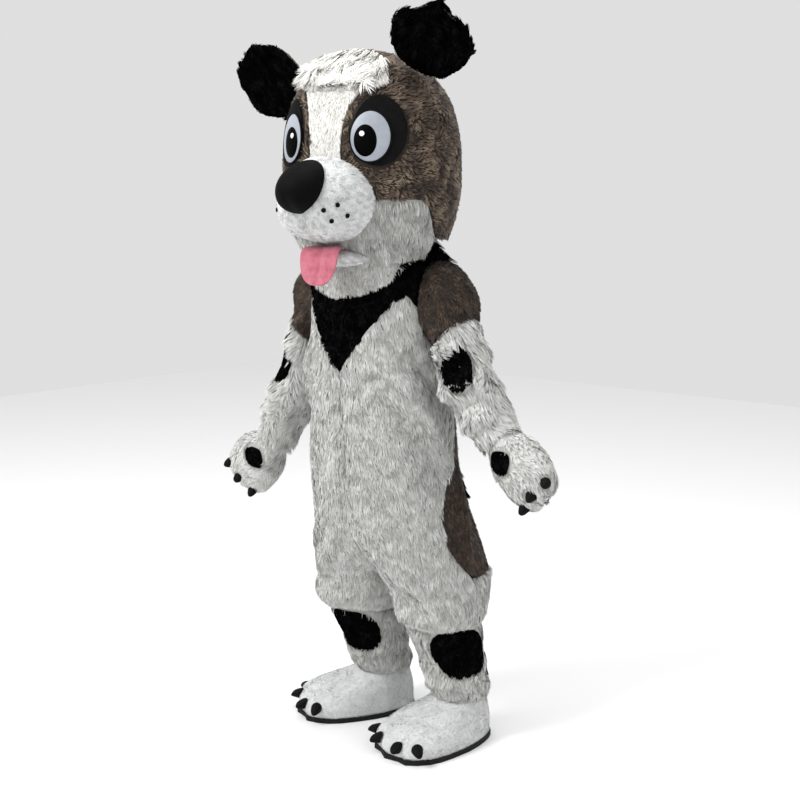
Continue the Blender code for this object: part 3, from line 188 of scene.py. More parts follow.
# the eyes: tight white fabric with a satin face, pupils of satin vinyl
eyeSatin = plushMaterial("white satin eye cloth", ((0.3, "#868b94"), (0.7, "#999ea7")), 0.060, 0.0016, 0.12,
                         {"Roughness": 0.45, "Sheen Weight": 0.1})
pupilVinyl = plushMaterial("black satin vinyl", ((0.3, "#010101"), (0.7, "#020202")), 0.050, 0.0060, 0.03,
                           {"Roughness": 0.5, "Specular IOR Level": 0.03})
highlightVinyl = plushMaterial("white gloss vinyl", ((0.3, "#e9ebee"), (0.7, "#f7f8f9")), 0.050, 0.0060, 0.03,
                               {"Roughness": 0.2})
clawVinyl = plushMaterial("black velveteen claws", ((0.3, "#040404"), (0.7, "#0a0a0a")), 0.018, 0.0030, 0.25,
                          {"Roughness": 0.7, "Specular IOR Level": 0.12})
soleFoam = plushMaterial("black foam sole", ((0.3, "#080808"), (0.7, "#141413")), 0.020, 0.0026, 0.45,
                         {"Roughness": 0.75, "Specular IOR Level": 0.25})
zipTape = plushMaterial("black woven zip tape", ((0.3, "#0b0b0b"), (0.7, "#161616")), 0.010, 0.0012, 0.4,
                        {"Roughness": 0.85})
# zip teeth and puller: nickel-plated brass, softly worn
zipMetal, zipTree, zipShader = newMaterial("nickel-plated zip metal", {"Metallic": 1.0, "Roughness": 0.32})
zipWear = addNode(zipTree, "TexNoise", {"Scale": 180.0, "Detail": 4.0},
                  {"Vector": addNode(zipTree, "TexCoord").outputs["Object"]})
zipTone = addNode(zipTree, "ValToRGB", {"stops": ((0.3, "#8d8a82"), (0.7, "#b9b6ae"))},
                  {"Fac": zipWear.outputs["Fac"]})
zipTree.links.new(zipTone.outputs["Color"], zipShader.inputs["Base Color"])
print("materials made")


def nodeMesh(names):
    # the named CAD nodes' own triangles as one merged mesh
    bm = bmesh.new()
    for name in names:
        bm.from_mesh(nodes[name].data)
    bmesh.ops.remove_doubles(bm, verts=bm.verts[:], dist=0.00002)
    return bm


def outerFaces(bm, limit):
    # faces joined without a sharp turn make one sheet of a wall; the outer sheet is the largest
    bm.faces.ensure_lookup_table()
    seen, sheets = set(), []
    for first in bm.faces:
        if first in seen:
            continue
        sheet, waiting = [], [first]
        seen.add(first)
        while waiting:
            face = waiting.pop()
            sheet.append(face)
            for edge in face.edges:
                if len(edge.link_faces) != 2 or edge.calc_face_angle(3.0) > limit:
                    continue
                for other in edge.link_faces:
                    if other not in seen:
                        seen.add(other)
                        waiting.append(other)
        sheets.append(sheet)
    return max(sheets, key=lambda sheet: sum(face.calc_area() for face in sheet))


def clothSurface(names, levels=1, limit=50.0, whole=False, inset=0.0):
    # a node's outer sheet as a smooth surface; whole keeps the closed form
    bm = nodeMesh(names)
    if not whole:
        kept = set(outerFaces(bm, math.radians(limit)))
        bmesh.ops.delete(bm, geom=[face for face in bm.faces if face not in kept], context="FACES")
    bmesh.ops.join_triangles(bm, faces=bm.faces[:], angle_face_threshold=0.7, angle_shape_threshold=1.4)
    mesh = bpy.data.meshes.new("draft")
    bm.to_mesh(mesh)
    bm.free()
    draft = bpy.data.objects.new("draft", mesh)
    bpy.context.scene.collection.objects.link(draft)
    smooth = draft.modifiers.new("smooth", "SUBSURF")
    smooth.levels = smooth.render_levels = levels
    smooth.boundary_smooth = "PRESERVE_CORNERS"
    bm = bmesh.new()
    bm.from_object(draft, bpy.context.evaluated_depsgraph_get())
    bpy.data.objects.remove(draft)
    bpy.data.meshes.remove(mesh)
    bm.normal_update()
    for vert in bm.verts:
        vert.co -= vert.normal * inset
    return bm


def creaseCloth(bm, creases, reach=0.07):
    # soft folds, listed one by one: (start, end, half width, rise) in millimetres; a trough is negative.
    # A fold follows the surface within reach of its line.
    for vert in bm.verts:
        move = 0.0
        for start, end, halfWidth, rise in creases:
            a, b = Vector(start) / 1000, Vector(end) / 1000
            along = b - a
            t = min(max((vert.co - a).dot(along) / along.length_squared, 0.0), 1.0)
            away = vert.co - a - along * t
            depth = away.dot(vert.normal)
            if abs(depth) > reach:
                continue
            gap = (away - vert.normal * depth).length / (halfWidth / 1000)
            if gap < 3.0:
                move += rise / 1000 * math.exp(-gap * gap) * (0.3 + 0.7 * math.sin(math.pi * t))
        if move:
            vert.co += vert.normal * move
    bm.normal_update()


def addPiece(name, bm, material, thickness=0.0):
    # a finished mesh rides the costume; thickness gives cloth its wall, inwards
    mesh = bpy.data.meshes.new(name)
    bm.to_mesh(mesh)
    bm.free()
    for polygon in mesh.polygons:
        polygon.use_smooth = True
    mesh.materials.append(material)
    piece = bpy.data.objects.new(name, mesh)
    bpy.context.scene.collection.objects.link(piece)
    if thickness:
        wall = piece.modifiers.new("wall", "SOLIDIFY")
        wall.thickness = thickness
        wall.offset = -1.0
    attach(piece, "root")
    return piece


def addPadding(name, bm, material, solids, thickness=0.0):
    # a padded piece in the place of its solids
    piece = addPiece(name, bm, material, thickness)
    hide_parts(*solids)
    return piece


def middleOf(bm):
    return sum((vert.co for vert in bm.verts), Vector()) / len(bm.verts)


def joinInto(whole, part):
    # adds one mesh to another, and frees it
    work = bpy.data.meshes.new("work")
    part.to_mesh(work)
    part.free()
    whole.from_mesh(work)
    bpy.data.meshes.remove(work)


# how a patch lies on its cloth and how far the pile keeps off it, in metres; trimmed is the share cut back
sewnSet = {"rise": 0.0035, "rootGap": 0.005, "tipGap": 0.008, "trimmed": 0.95, "near": 0.03}


def spreadPatch(name, ground, growth):
    # a sewn patch, grown about its middle and laid on the cloth under it, folds and all
    patch = clothSurface([name])
    tree = BVHTree.FromBMesh(ground)
    middle = middleOf(patch)
    for vert in patch.verts:
        vert.co = middle + (vert.co - middle) * growth
        spot, normal, _, _ = tree.find_nearest(vert.co)
        vert.co = spot + normal * sewnSet["rise"]
    patch.normal_update()
    return patch


def scatter(bm, count, seed):
    # strand roots spread evenly over a surface, with its smooth normals
    mesh = bpy.data.meshes.new("scatter")
    bm.to_mesh(mesh)
    mesh.calc_loop_triangles()
    places = np.empty(len(mesh.vertices) * 3)
    mesh.vertices.foreach_get("co", places)
    places = places.reshape(-1, 3)
    normals = np.empty(len(mesh.vertices) * 3)
    mesh.vertex_normals.foreach_get("vector", normals)
    normals = normals.reshape(-1, 3)
    corners = np.empty(len(mesh.loop_triangles) * 3, dtype=np.int32)
    mesh.loop_triangles.foreach_get("vertices", corners)
    corners = corners.reshape(-1, 3)
    bpy.data.meshes.remove(mesh)
    a, b, c = (places[corners[:, k]] for k in range(3))
    areas = np.linalg.norm(np.cross(b - a, c - a), axis=1)
    rng = np.random.default_rng(seed)
    picked = rng.choice(len(corners), count, p=areas / areas.sum())
    first, second = rng.random(count), rng.random(count)
    flip = first + second > 1.0
    first[flip], second[flip] = 1.0 - first[flip], 1.0 - second[flip]
    weights = np.stack([1.0 - first - second, first, second], axis=1)[:, :, None]
    roots = (places[corners[picked]] * weights).sum(axis=1)
    facing = (normals[corners[picked]] * weights).sum(axis=1)
    return roots, unit(facing)


def unit(vectors):
    return vectors / np.maximum(np.linalg.norm(vectors, axis=1, keepdims=True), 1e-9)


def waves(points, size, seed):
    # smooth noise from a few crossed waves, about -1 to 1; size is a lock's width in metres
    rng = np.random.default_rng(seed)
    total = np.zeros(len(points))
    for _ in range(10):
        heading = unit(rng.normal(size=(1, 3)))[0]
        ripples = 2 * math.pi / size * rng.uniform(0.5, 1.3)
        total += np.sin(points @ heading * ripples + rng.uniform(0, 6.28))
    return total / math.sqrt(5.0)


furTriangles = []
# a fibre bends at this share of its length, and its root is sunk into the backing by this, in metres
fibreSet = {"bend": 0.4, "sunk": 0.0008}


def offPatches(roots, tips, names, rng):
    # which strands stay clear of the patches sewn on their cloth; a few hang over the edges
    stays = np.ones(len(roots), dtype=bool)
    for cover in names:
        bm = nodeMesh([cover]) if isinstance(cover, str) else cover.copy()
        tree = BVHTree.FromBMesh(bm)
        corners = np.array([vert.co[:] for vert in bm.verts])
        bm.free()
        low, high = corners.min(axis=0) - sewnSet["near"], corners.max(axis=0) + sewnSet["near"]
        for index in np.nonzero(((roots > low) & (roots < high)).all(axis=1))[0]:
            if tree.find_nearest(Vector(roots[index]), sewnSet["rootGap"])[0] is not None:
                stays[index] = False
            elif tree.find_nearest(Vector(tips[index]), sewnSet["tipGap"])[0] is not None:
                if rng.random() < sewnSet["trimmed"]:
                    stays[index] = False
    return stays


def growFur(name, surfaces, fur, material, nap, lengthAt=None, toneAt=None, patched=()):
    # tapered bent strands in one mesh; lengths and widths in millimetres, lifts in degrees
    roots, facing = [], []
    total = sum(sum(face.calc_area() for face in bm.faces) for bm in surfaces)
    for number, bm in enumerate(surfaces):
        share = sum(face.calc_area() for face in bm.faces) / total
        spots, normals = scatter(bm, max(int(fur["count"] * share), 4), fur["seed"] + number)
        roots.append(spots)
        facing.append(normals)
    roots, facing = np.concatenate(roots), np.concatenate(facing)
    count = len(roots)
    rng = np.random.default_rng(fur["seed"])
    length = fur["length"] / 1000 * rng.uniform(0.72, 1.18, count)
    if lengthAt:
        length *= lengthAt(roots)
    lie = nap(roots)
    for axis in range(3):
        lie[:, axis] += fur["swirl"] * waves(roots, fur["lock"] * 0.006, fur["seed"] + 11 + axis)
        lie[:, axis] += fur["stray"] * rng.normal(size=count)
    lie = unit(lie - facing * (lie * facing).sum(axis=1, keepdims=True))
    lift = np.radians(fur["lift"] * rng.uniform(0.55, 1.45, count))[:, None]
    tipLift = np.radians(fur["tipLift"] + 8.0 * rng.normal(size=count))[:, None]
    lower, upper = length[:, None] * fibreSet["bend"], length[:, None] * (1.0 - fibreSet["bend"])
    middles = roots + lower * (lie * np.cos(lift) + facing * np.sin(lift))
    tips = middles + upper * (lie * np.cos(tipLift) + facing * np.sin(tipLift))
    tone = 0.5 + 0.10 * waves(roots, 0.035, fur["seed"] + 21) + 0.16 * rng.normal(size=count)
    if fur["lock"]:
        spacing = fur["lock"] / 1000
        cells = max(int(total / (spacing * spacing)), 8)
        chosen = rng.choice(count, min(cells, count), replace=False)
        tree = KDTree(len(chosen))
        for number, index in enumerate(chosen):
            tree.insert(roots[index], number)
        tree.balance()
        nearest = chosen[np.array([tree.find(spot)[1] for spot in roots])]
        apart = ((roots - roots[nearest]) ** 2).sum(axis=1)
        pull = fur["pull"] * np.exp(-apart / (spacing * 1.4) ** 2)[:, None]
        tips = tips + (tips[nearest] - tips) * pull
        middles = middles + (middles[nearest] - middles) * pull * 0.35
        tone += 0.10 * rng.normal(size=count)[nearest]
    if toneAt:
        tone += toneAt(roots)
    tone = np.clip(tone, 0.02, 0.98)
    if patched:
        stays = offPatches(roots, tips, patched, rng)
        roots, facing, middles, tips, tone = (part[stays] for part in (roots, facing, middles, tips, tone))
        count = len(roots)
    across = unit(np.cross(tips - roots, facing + 0.35 * rng.normal(size=(count, 3))))
    half = (fur["width"] / 2000 * rng.uniform(0.75, 1.25, count))[:, None]
    sunk = roots - facing * fibreSet["sunk"]
    if fur["bends"]:
        places = np.stack([sunk, middles + across * half, middles - across * half, tips], axis=1)
        alongs = np.tile([0.0, fibreSet["bend"], fibreSet["bend"], 1.0], count)
        corners = np.array([0, 1, 2, 2, 1, 3])
    else:
        places = np.stack([sunk - across * half, sunk + across * half, tips], axis=1)
        alongs = np.tile([0.0, 0.0, 1.0], count)
        corners = np.array([0, 1, 2])
    per = places.shape[1]
    triangles = count * len(corners) // 3
    mesh = bpy.data.meshes.new(name)
    mesh.vertices.add(count * per)
    mesh.vertices.foreach_set("co", places.reshape(-1))
    loops = (corners[None, :] + per * np.arange(count)[:, None]).reshape(-1).astype(np.int32)
    mesh.loops.add(len(loops))
    mesh.loops.foreach_set("vertex_index", loops)
    mesh.polygons.add(triangles)
    mesh.polygons.foreach_set("loop_start", (3 * np.arange(triangles)).astype(np.int32))
    mesh.update(calc_edges=True)
    mesh.polygons.foreach_set("use_smooth", np.ones(len(mesh.polygons), dtype=bool))
    toneAll = np.repeat(tone, per)
    for label, values in (("tone", toneAll), ("along", alongs)):
        mesh.attributes.new(label, "FLOAT", "POINT").data.foreach_set("value", values.astype(np.float32))
    # every strand reads one point of a tone by height palette
    palette = np.stack([0.01 + 0.98 * toneAll[loops], 0.02 + 0.96 * alongs[loops]], axis=1)
    mesh.uv_layers.new(name="OFBake").data.foreach_set("uv", palette.reshape(-1))
    # shade strands nearly as the pelt under them, so that they read as fur and not as chips
    blades = unit(np.cross(across, tips - roots))
    blades *= np.sign((blades * facing).sum(axis=1, keepdims=True) + 1e-6)
    shading = unit(facing * fur["soft"] + blades * (1.0 - fur["soft"]))
    mesh.normals_split_custom_set_from_vertices(np.repeat(shading, per, axis=0))
    mesh.materials.append(material)
    piece = bpy.data.objects.new(name, mesh)
    bpy.context.scene.collection.objects.link(piece)
    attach(piece, "root")
    furTriangles.append(triangles)
    print("fur", name, count, "strands", triangles, "of", sum(furTriangles))
    return piece


def towards(vector):
    # a nap that lies one way everywhere
    return lambda points: np.tile(vector, (len(points), 1))


def evenTone(shift):
    # one lighter or darker shade all over
    return lambda points: np.full(len(points), shift)


# the suit's cloth panels: the cut's width, length and area in metres, and where it hangs from
panels = {
    "front_left": {"flat": (0.385, 0.900), "area": 0.270, "cloth": "white", "from": "bib"},
    "front_right": {"flat": (0.385, 0.900), "area": 0.270, "cloth": "white", "from": "bib"},
    "back_leg_left": {"flat": (0.450, 0.150), "area": 0.061, "cloth": "white", "from": "back_left"},
    "back_leg_right": {"flat": (0.450, 0.150), "area": 0.061, "cloth": "white", "from": "back_right"},
    "back_left": {"flat": (0.440, 0.760), "area": 0.219, "cloth": "brown", "from": "yoke_left"},
    "back_right": {"flat": (0.440, 0.760), "area": 0.219, "cloth": "brown", "from": "yoke_right"},
    "bib": {"flat": (0.520, 0.410), "area": 0.115, "cloth": "black", "from": "yoke_left"},
    "yoke_left": {"flat": (0.250, 0.240), "area": 0.045, "cloth": "black", "from": "bib"},
    "yoke_right": {"flat": (0.250, 0.240), "area": 0.045, "cloth": "black", "from": "bib"},
    "sleeve_cap_left": {"flat": (0.520, 0.170), "area": 0.061, "cloth": "brown", "from": "yoke_left"},
    "sleeve_cap_right": {"flat": (0.520, 0.170), "area": 0.061, "cloth": "brown", "from": "yoke_right"},
    "sleeve_left": {"flat": (0.400, 0.330), "area": 0.110, "cloth": "white", "from": "sleeve_cap_left"},
    "sleeve_right": {"flat": (0.420, 0.400), "area": 0.140, "cloth": "white", "from": "sleeve_cap_right"},
    "calf_left": {"flat": (0.600, 0.250), "area": 0.121, "cloth": "white", "from": "front_left"},
    "calf_right": {"flat": (0.600, 0.250), "area": 0.123, "cloth": "white", "from": "front_right"},
    "neck_skirt": {"flat": (1.050, 0.180), "area": 0.080, "cloth": "white", "from": "ruff"},
}
knits = {"white": shadedWhiteKnit, "brown": shadedBrownKnit, "black": blackKnit}



def mirrored(creases):
    # the same folds on the wearer's right
    return tuple(((-a[0], *a[1:]), (-b[0], *b[1:]), halfWidth, rise) for a, b, halfWidth, rise in creases)


# folds laid into the cloth, in millimetres: start, end, half width, rise
capFolds = (
    ((200, -70, -40), (265, -60, -130), 15, 13), ((188, -78, -90), (250, -72, -190), 13, -11),
    ((225, -50, -20), (276, -20, -120), 13, -9), ((190, -80, -150), (262, -70, -215), 14, 13),
    ((200, 60, -60), (262, 60, -150), 15, 12), ((262, -40, -90), (276, 0, -180), 12, 10),
)
calfFolds = (
    ((60, 100, -1000), (230, 60, -1005), 16, 10), ((60, 60, -1060), (232, 60, -1050), 12, -8),
    ((60, 20, -1110), (230, 60, -1115), 14, 9),
)
folds = {
    "back_left": (
        ((205, 60, -560), (235, 60, -800), 17, 15), ((215, 100, -520), (190, 150, -790), 14, -12),
        ((170, 170, -480), (140, 200, -780), 17, 14), ((110, 190, -470), (90, 220, -770), 14, -11),
        ((190, 40, -240), (180, 120, -420), 13, 8), ((160, 110, -220), (120, 160, -430), 15, -12),
        ((200, 20, -300), (205, 60, -480), 13, -10), ((60, 170, -560), (40, 215, -800), 13, 8),
    ),
    "back_right": (
        ((-205, 60, -540), (-235, 60, -790), 17, 15), ((-212, 100, -520), (-185, 150, -780), 14, -12),
        ((-165, 170, -470), (-140, 205, -770), 17, 14), ((-105, 190, -480), (-85, 222, -770), 14, -11),
        ((-190, 40, -250), (-180, 120, -430), 13, 8), ((-155, 110, -230), (-115, 160, -420), 15, -12),
        ((-60, 170, -560), (-45, 215, -800), 13, 8),
    ),
    "sleeve_cap_left": capFolds,
    "sleeve_cap_right": mirrored(capFolds[:5]),
    "sleeve_left": (
        ((205, -70, -245), (315, -70, -190), 15, 15), ((225, -70, -292), (335, -70, -235), 12, -11),
        ((235, -72, -340), (360, -70, -275), 16, 16), ((265, -70, -385), (375, -70, -318), 12, -10),
        ((290, -70, -425), (395, -70, -355), 14, 13), ((205, 60, -280), (310, 60, -230), 15, 13),
        ((240, 60, -350), (350, 60, -300), 15, 12), ((320, -20, -230), (385, 0, -330), 14, 10),
    ),
    "sleeve_right": (
        ((-205, -70, -285), (-300, -70, -225), 15, 14), ((-225, -70, -345), (-325, -70, -295), 12, -11),
        ((-250, -72, -400), (-350, -70, -350), 15, 15), ((-280, -70, -455), (-375, -70, -405), 14, 13),
        ((-205, 60, -310), (-310, 60, -270), 15, 12), ((-250, 60, -400), (-350, 60, -350), 15, 12),
    ),
    "front_left": (
        ((82, -168, -170), (222, -20, -455), 21, 22), ((100, -155, -290), (225, -10, -560), 24, -15),
        ((165, -110, -200), (215, -40, -330), 15, -12), ((40, -174, -380), (205, -50, -640), 28, 13),
        ((25, -174, -500), (185, -90, -730), 24, -12), ((30, -172, -590), (190, -110, -800), 26, 17),
        ((60, -160, -730), (222, -40, -900), 24, 18), ((75, -150, -830), (225, -30, -955), 16, -12),
        ((6, -178, -290), (14, -178, -760), 12, -15), ((46, -178, -330), (52, -178, -700), 26, 9),
        ((60, -90, -925), (240, 50, -910), 22, 20), ((70, -130, -870), (235, 0, -850), 16, -12),
    ),
    "front_right": (
        ((-85, -168, -190), (-218, -20, -450), 21, 18), ((-105, -155, -295), (-220, -10, -550), 22, -13),
        ((-70, -174, -330), (-75, -160, -760), 24, 14), ((-25, -174, -480), (-185, -90, -730), 22, -10),
        ((-30, -172, -600), (-190, -110, -810), 24, 14), ((-60, -160, -740), (-222, -40, -910), 22, 15),
        ((-6, -178, -300), (-4, -178, -760), 10, -10), ((-120, -150, -400), (-125, -140, -760), 16, -9),
        ((-60, -90, -925), (-240, 50, -910), 22, 18), ((-70, -130, -870), (-235, 0, -850), 16, -11),
    ),
    "calf_left": calfFolds,
    "calf_right": mirrored(calfFolds),
}

# walls in metres: the cloth lies this far inside its solid, because its pile stands on it
wallSet = {"inset": 0.0006, "suit": 0.0022, "patch": 0.0020, "head": 0.010, "paw": 0.0035, "boot": 0.0055}
cloth = {}
for name, cut in panels.items():
    surface = clothSurface([name], levels=2 if name in folds else 1, inset=wallSet["inset"])
    creaseCloth(surface, folds.get(name, ()))
    cloth[name] = surface
    piece = addPiece("cloth_" + name, surface.copy(), knits[cut["cloth"]], wallSet["suit"])
    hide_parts(name)
    cut["piece"] = piece
print("suit panels cut:", len(panels))


# black patches on elbows, knees, calves and paws lie on the folded cloth; growth is past their solids
patches = {
    "elbow_patch_left": {"flat": (0.082, 0.118), "area": 0.0076, "on": "sleeve_left", "growth": 1.30},
    "elbow_patch_right": {"flat": (0.082, 0.142), "area": 0.0088, "on": "sleeve_right", "growth": 1.30},
    "knee_patch_left": {"flat": (0.182, 0.148), "area": 0.0192, "on": "calf_left", "growth": 1.25},
    "knee_patch_right": {"flat": (0.160, 0.150), "area": 0.0178, "on": "calf_right", "growth": 1.15},
    "calf_patch_left": {"flat": (0.100, 0.098), "area": 0.0078, "on": "calf_left", "growth": 1.0},
    "calf_patch_right": {"flat": (0.118, 0.102), "area": 0.0093, "on": "calf_right", "growth": 1.0},
    "paw_patch_left": {"flat": (0.069, 0.062), "area": 0.0031, "on": "paw_left", "growth": 1.5},
    "paw_patch_right": {"flat": (0.069, 0.062), "area": 0.0031, "on": "paw_right", "growth": 1.5},
}
patchCloth = {name: spreadPatch(name, cloth[cut["on"]], cut["growth"]) for name, cut in patches.items()
              if cut["on"] in cloth}


def bodyNap(points):
    # brushed down the body and out towards the sides
    lie = np.tile([0.0, 0.0, -1.0], (len(points), 1))
    lie[:, 0] += 0.35 * np.sign(points[:, 0]) * np.clip(np.abs(points[:, 0]) / 0.2, 0.0, 1.0)
    return lie


def collarNap(points):
    # the black pile spreads outwards from the neck and hangs to the bib's point
    lie = np.stack([points[:, 0], points[:, 1] + 0.02, np.zeros(len(points))], axis=1)
    lie = unit(lie) * np.clip((points[:, 2] + 0.14) / 0.16, 0.1, 1.0)[:, None]
    lie[:, 2] -= 0.75
    return lie


def collarLength(points):
    # clipped short down the bib, left long over the shoulders
    return 0.36 + 0.74 * np.clip((points[:, 2] + 0.10) / 0.12, 0.0, 1.0)


longPile = {
    "count": 46000, "length": 25.0, "width": 2.2, "lift": 15.0, "tipLift": 0.0, "swirl": 0.16, "stray": 0.12,
    "lock": 8.0, "pull": 0.34, "bends": True, "soft": 0.84, "seed": 101,
}
sleevePile = dict(longPile, count=17000, length=31.0, lift=30.0, tipLift=6.0, swirl=0.36, lock=13.0, pull=0.5)
calfPile = dict(longPile, count=16000, length=24.0, lift=24.0, swirl=0.22, lock=11.0, pull=0.5)
skirtPile = dict(longPile, count=11500, length=17.0, lift=10.0, width=2.0, swirl=0.10, stray=0.08, seed=171)
collarPile = {
    "count": 17000, "length": 38.0, "width": 3.2, "lift": 30.0, "tipLift": 8.0, "swirl": 0.22, "stray": 0.14,
    "lock": 18.0, "pull": 0.72, "bends": True, "soft": 0.60, "seed": 201,
}
shortNap = {
    "count": 24000, "length": 12.5, "width": 2.7, "lift": 26.0, "tipLift": 14.0, "swirl": 0.30, "stray": 0.22,
    "lock": 9.0, "pull": 0.50, "bends": False, "soft": 0.62, "seed": 231,
}
capNap = dict(shortNap, count=9500, length=11.0)
spikePile = dict(collarPile, count=2400, length=60.0, lift=42.0, lock=26.0, pull=0.85, soft=0.3, seed=221)
sleeveTone = 0.22  # the sleeves' pile is one tone lighter than the body's
downwards = towards((0.0, 0.0, -1.0))


def throatLength(points):
    # long under the chin, clipped short behind the neck, where the black collar covers it
    return np.where(points[:, 1] > 0.0, 0.3, 1.0)


furPieces = {}
for side, word in ((1, "left"), (-1, "right")):
    furPieces["front_" + word] = growFur(
        "fur_body_" + word, [cloth["front_" + word], cloth["back_leg_" + word]],
        dict(longPile, seed=101 + side), whiteFur, bodyNap)
    furPieces["sleeve_" + word] = growFur(
        "fur_sleeve_" + word, [cloth["sleeve_" + word]], dict(sleevePile, seed=131 + side), whiteFur,
        towards((side * 0.62, 0.0, -0.78)), toneAt=evenTone(sleeveTone),
        patched=[patchCloth["elbow_patch_" + word]])
    furPieces["calf_" + word] = growFur(
        "fur_calf_" + word, [cloth["calf_" + word]], dict(calfPile, seed=151 + side), whiteFur, downwards,
        patched=[patchCloth["knee_patch_" + word], patchCloth["calf_patch_" + word]])
    furPieces["back_" + word] = growFur(
        "nap_back_" + word, [cloth["back_" + word]], dict(shortNap, seed=231 + side), brownNap, downwards)
    furPieces["sleeve_cap_" + word] = growFur(
        "nap_cap_" + word, [cloth["sleeve_cap_" + word]], dict(capNap, seed=251 + side), brownNap,
        towards((side * 0.5, 0.0, -0.85)))
yokes = [cloth["yoke_left"], cloth["yoke_right"]]
furPieces["bib"] = growFur("fur_collar", [cloth["bib"]] + yokes, collarPile, blackFur, collarNap,
                           collarLength, patched=["neck_skirt", "ruff"])
furPieces["yoke_left"] = growFur("fur_shoulders", yokes, spikePile, blackFur, collarNap,
                                 patched=["neck_skirt", "ruff"])
furPieces["neck_skirt"] = growFur("fur_throat", [cloth["neck_skirt"]], skirtPile, whiteFur, downwards,
                                  throatLength)

for name, cut in panels.items():
    grown = furPieces.get(name)
print("suit furred")


# the head: brown shell and white blaze on foam, white ruff under the cheeks
headSet = {
    "centre": (0.0, -0.05, 0.245), "yaw": 6.0, "nose": (0.03, -0.33, 0.165),
    "tuftFrom": 0.385, "tuftTo": 0.430, "tuftShare": 0.30,
}
headCentre = Vector(headSet["centre"])
yaw = math.radians(headSet["yaw"])
faceward = Vector((math.sin(yaw), -math.cos(yaw), 0.0))
sideward = Vector((math.cos(yaw), math.sin(yaw), 0.0))


def headNap(points):
    # short head pile is brushed back from the nose and settles downwards behind the cheeks
    lie = unit(points - np.array(headSet["nose"]))
    lie[:, 2] -= 0.45 + 0.6 * np.clip((points[:, 1] + 0.05) / 0.15, 0.0, 1.0)
    return lie


def headMottle(points):
    # patches of lighter and darker dye, about 45 mm apart
    return 0.20 * waves(points, 0.045, 77)


def tuftShare(points):
    # 0 on the face, 1 on the tuft over the forehead
    rise = (points[:, 2] - headSet["tuftFrom"]) / (headSet["tuftTo"] - headSet["tuftFrom"])
    return np.clip(rise, 0.0, 1.0) * np.clip((0.03 - points[:, 1]) / 0.05, 0.0, 1.0)


def blazeNap(points):
    # up the forehead, then the tuft falls forwards over it and to both sides
    share = tuftShare(points)[:, None]
    up = np.tile([0.0, 0.25, 1.0], (len(points), 1))
    fallen = points - np.array([headCentre.x, headCentre.y + 0.03, points[:, 2].mean()])
    fallen[:, 2] = -0.04
    return up * (1.0 - share) + unit(fallen) * 1.3 * share


def blazeLength(points):
    return 0.70 + 1.90 * tuftShare(points)


headPile = {
    "count": 38000, "length": 15.0, "width": 2.7, "lift": 32.0, "tipLift": 12.0, "swirl": 0.42, "stray": 0.22,
    "lock": 10.0, "pull": 0.55, "bends": True, "soft": 0.62, "seed": 301,
}
blazePile = dict(headPile, count=14000, length=18.0, width=2.2, lift=16.0, tipLift=2.0, pull=0.34,
                 swirl=0.24, stray=0.12, soft=0.84, seed=321)
tuftPile = dict(headPile, count=5600, length=52.0, width=2.6, lift=64.0, tipLift=0.0, lock=19.0, pull=0.62,
                swirl=0.34, seed=361)
ruffPile = {
    "count": 12500, "length": 26.0, "width": 2.3, "lift": 20.0, "tipLift": 4.0, "swirl": 0.18, "stray": 0.10,
    "lock": 10.0, "pull": 0.45, "bends": True, "soft": 0.75, "seed": 341,
}

headPieces = {
    "head_shell": {"knit": shadedBrownKnit, "slot": "brown_plush"},
    "blaze": {"knit": shadedWhiteKnit, "slot": "white_plush"},
    "ruff": {"knit": shadedWhiteKnit, "slot": "white_plush"},
}
for name, part in headPieces.items():
    cloth[name] = clothSurface([name], inset=wallSet["inset"])
    addPadding("pelt_" + name, cloth[name].copy(), part["knit"], [name], wallSet["head"])
growFur("fur_head", [cloth["head_shell"]], headPile, brownFur, headNap, toneAt=headMottle,
        patched=["eye_patch_left", "eye_patch_right"])
growFur("fur_blaze", [cloth["blaze"]], blazePile, whiteTuft, blazeNap, blazeLength)
tuft = cloth["blaze"].copy()
low = [face for face in tuft.faces
       if tuftShare(np.array([face.calc_center_median()[:]]))[0] < headSet["tuftShare"]]
bmesh.ops.delete(tuft, geom=low, context="FACES")
growFur("fur_tuft", [tuft], tuftPile, whiteTuft, blazeNap)
# the ruff's pile is a quarter tone darker, painted shade under the cheeks
growFur("fur_ruff", [cloth["ruff"]], ruffPile, whiteFur, towards((0.0, 0.25, -1.0)), toneAt=evenTone(-0.25))
print("head furred")


# ears: black in front, brown behind, long spiky pile round the edge
earPile = {
    "count": 12500, "length": 30.0, "width": 2.9, "lift": 26.0, "tipLift": 4.0, "swirl": 0.26, "stray": 0.16,
    "lock": 17.0, "pull": 0.72, "bends": True, "soft": 0.60,
}
earBackPile = dict(earPile, count=6500)
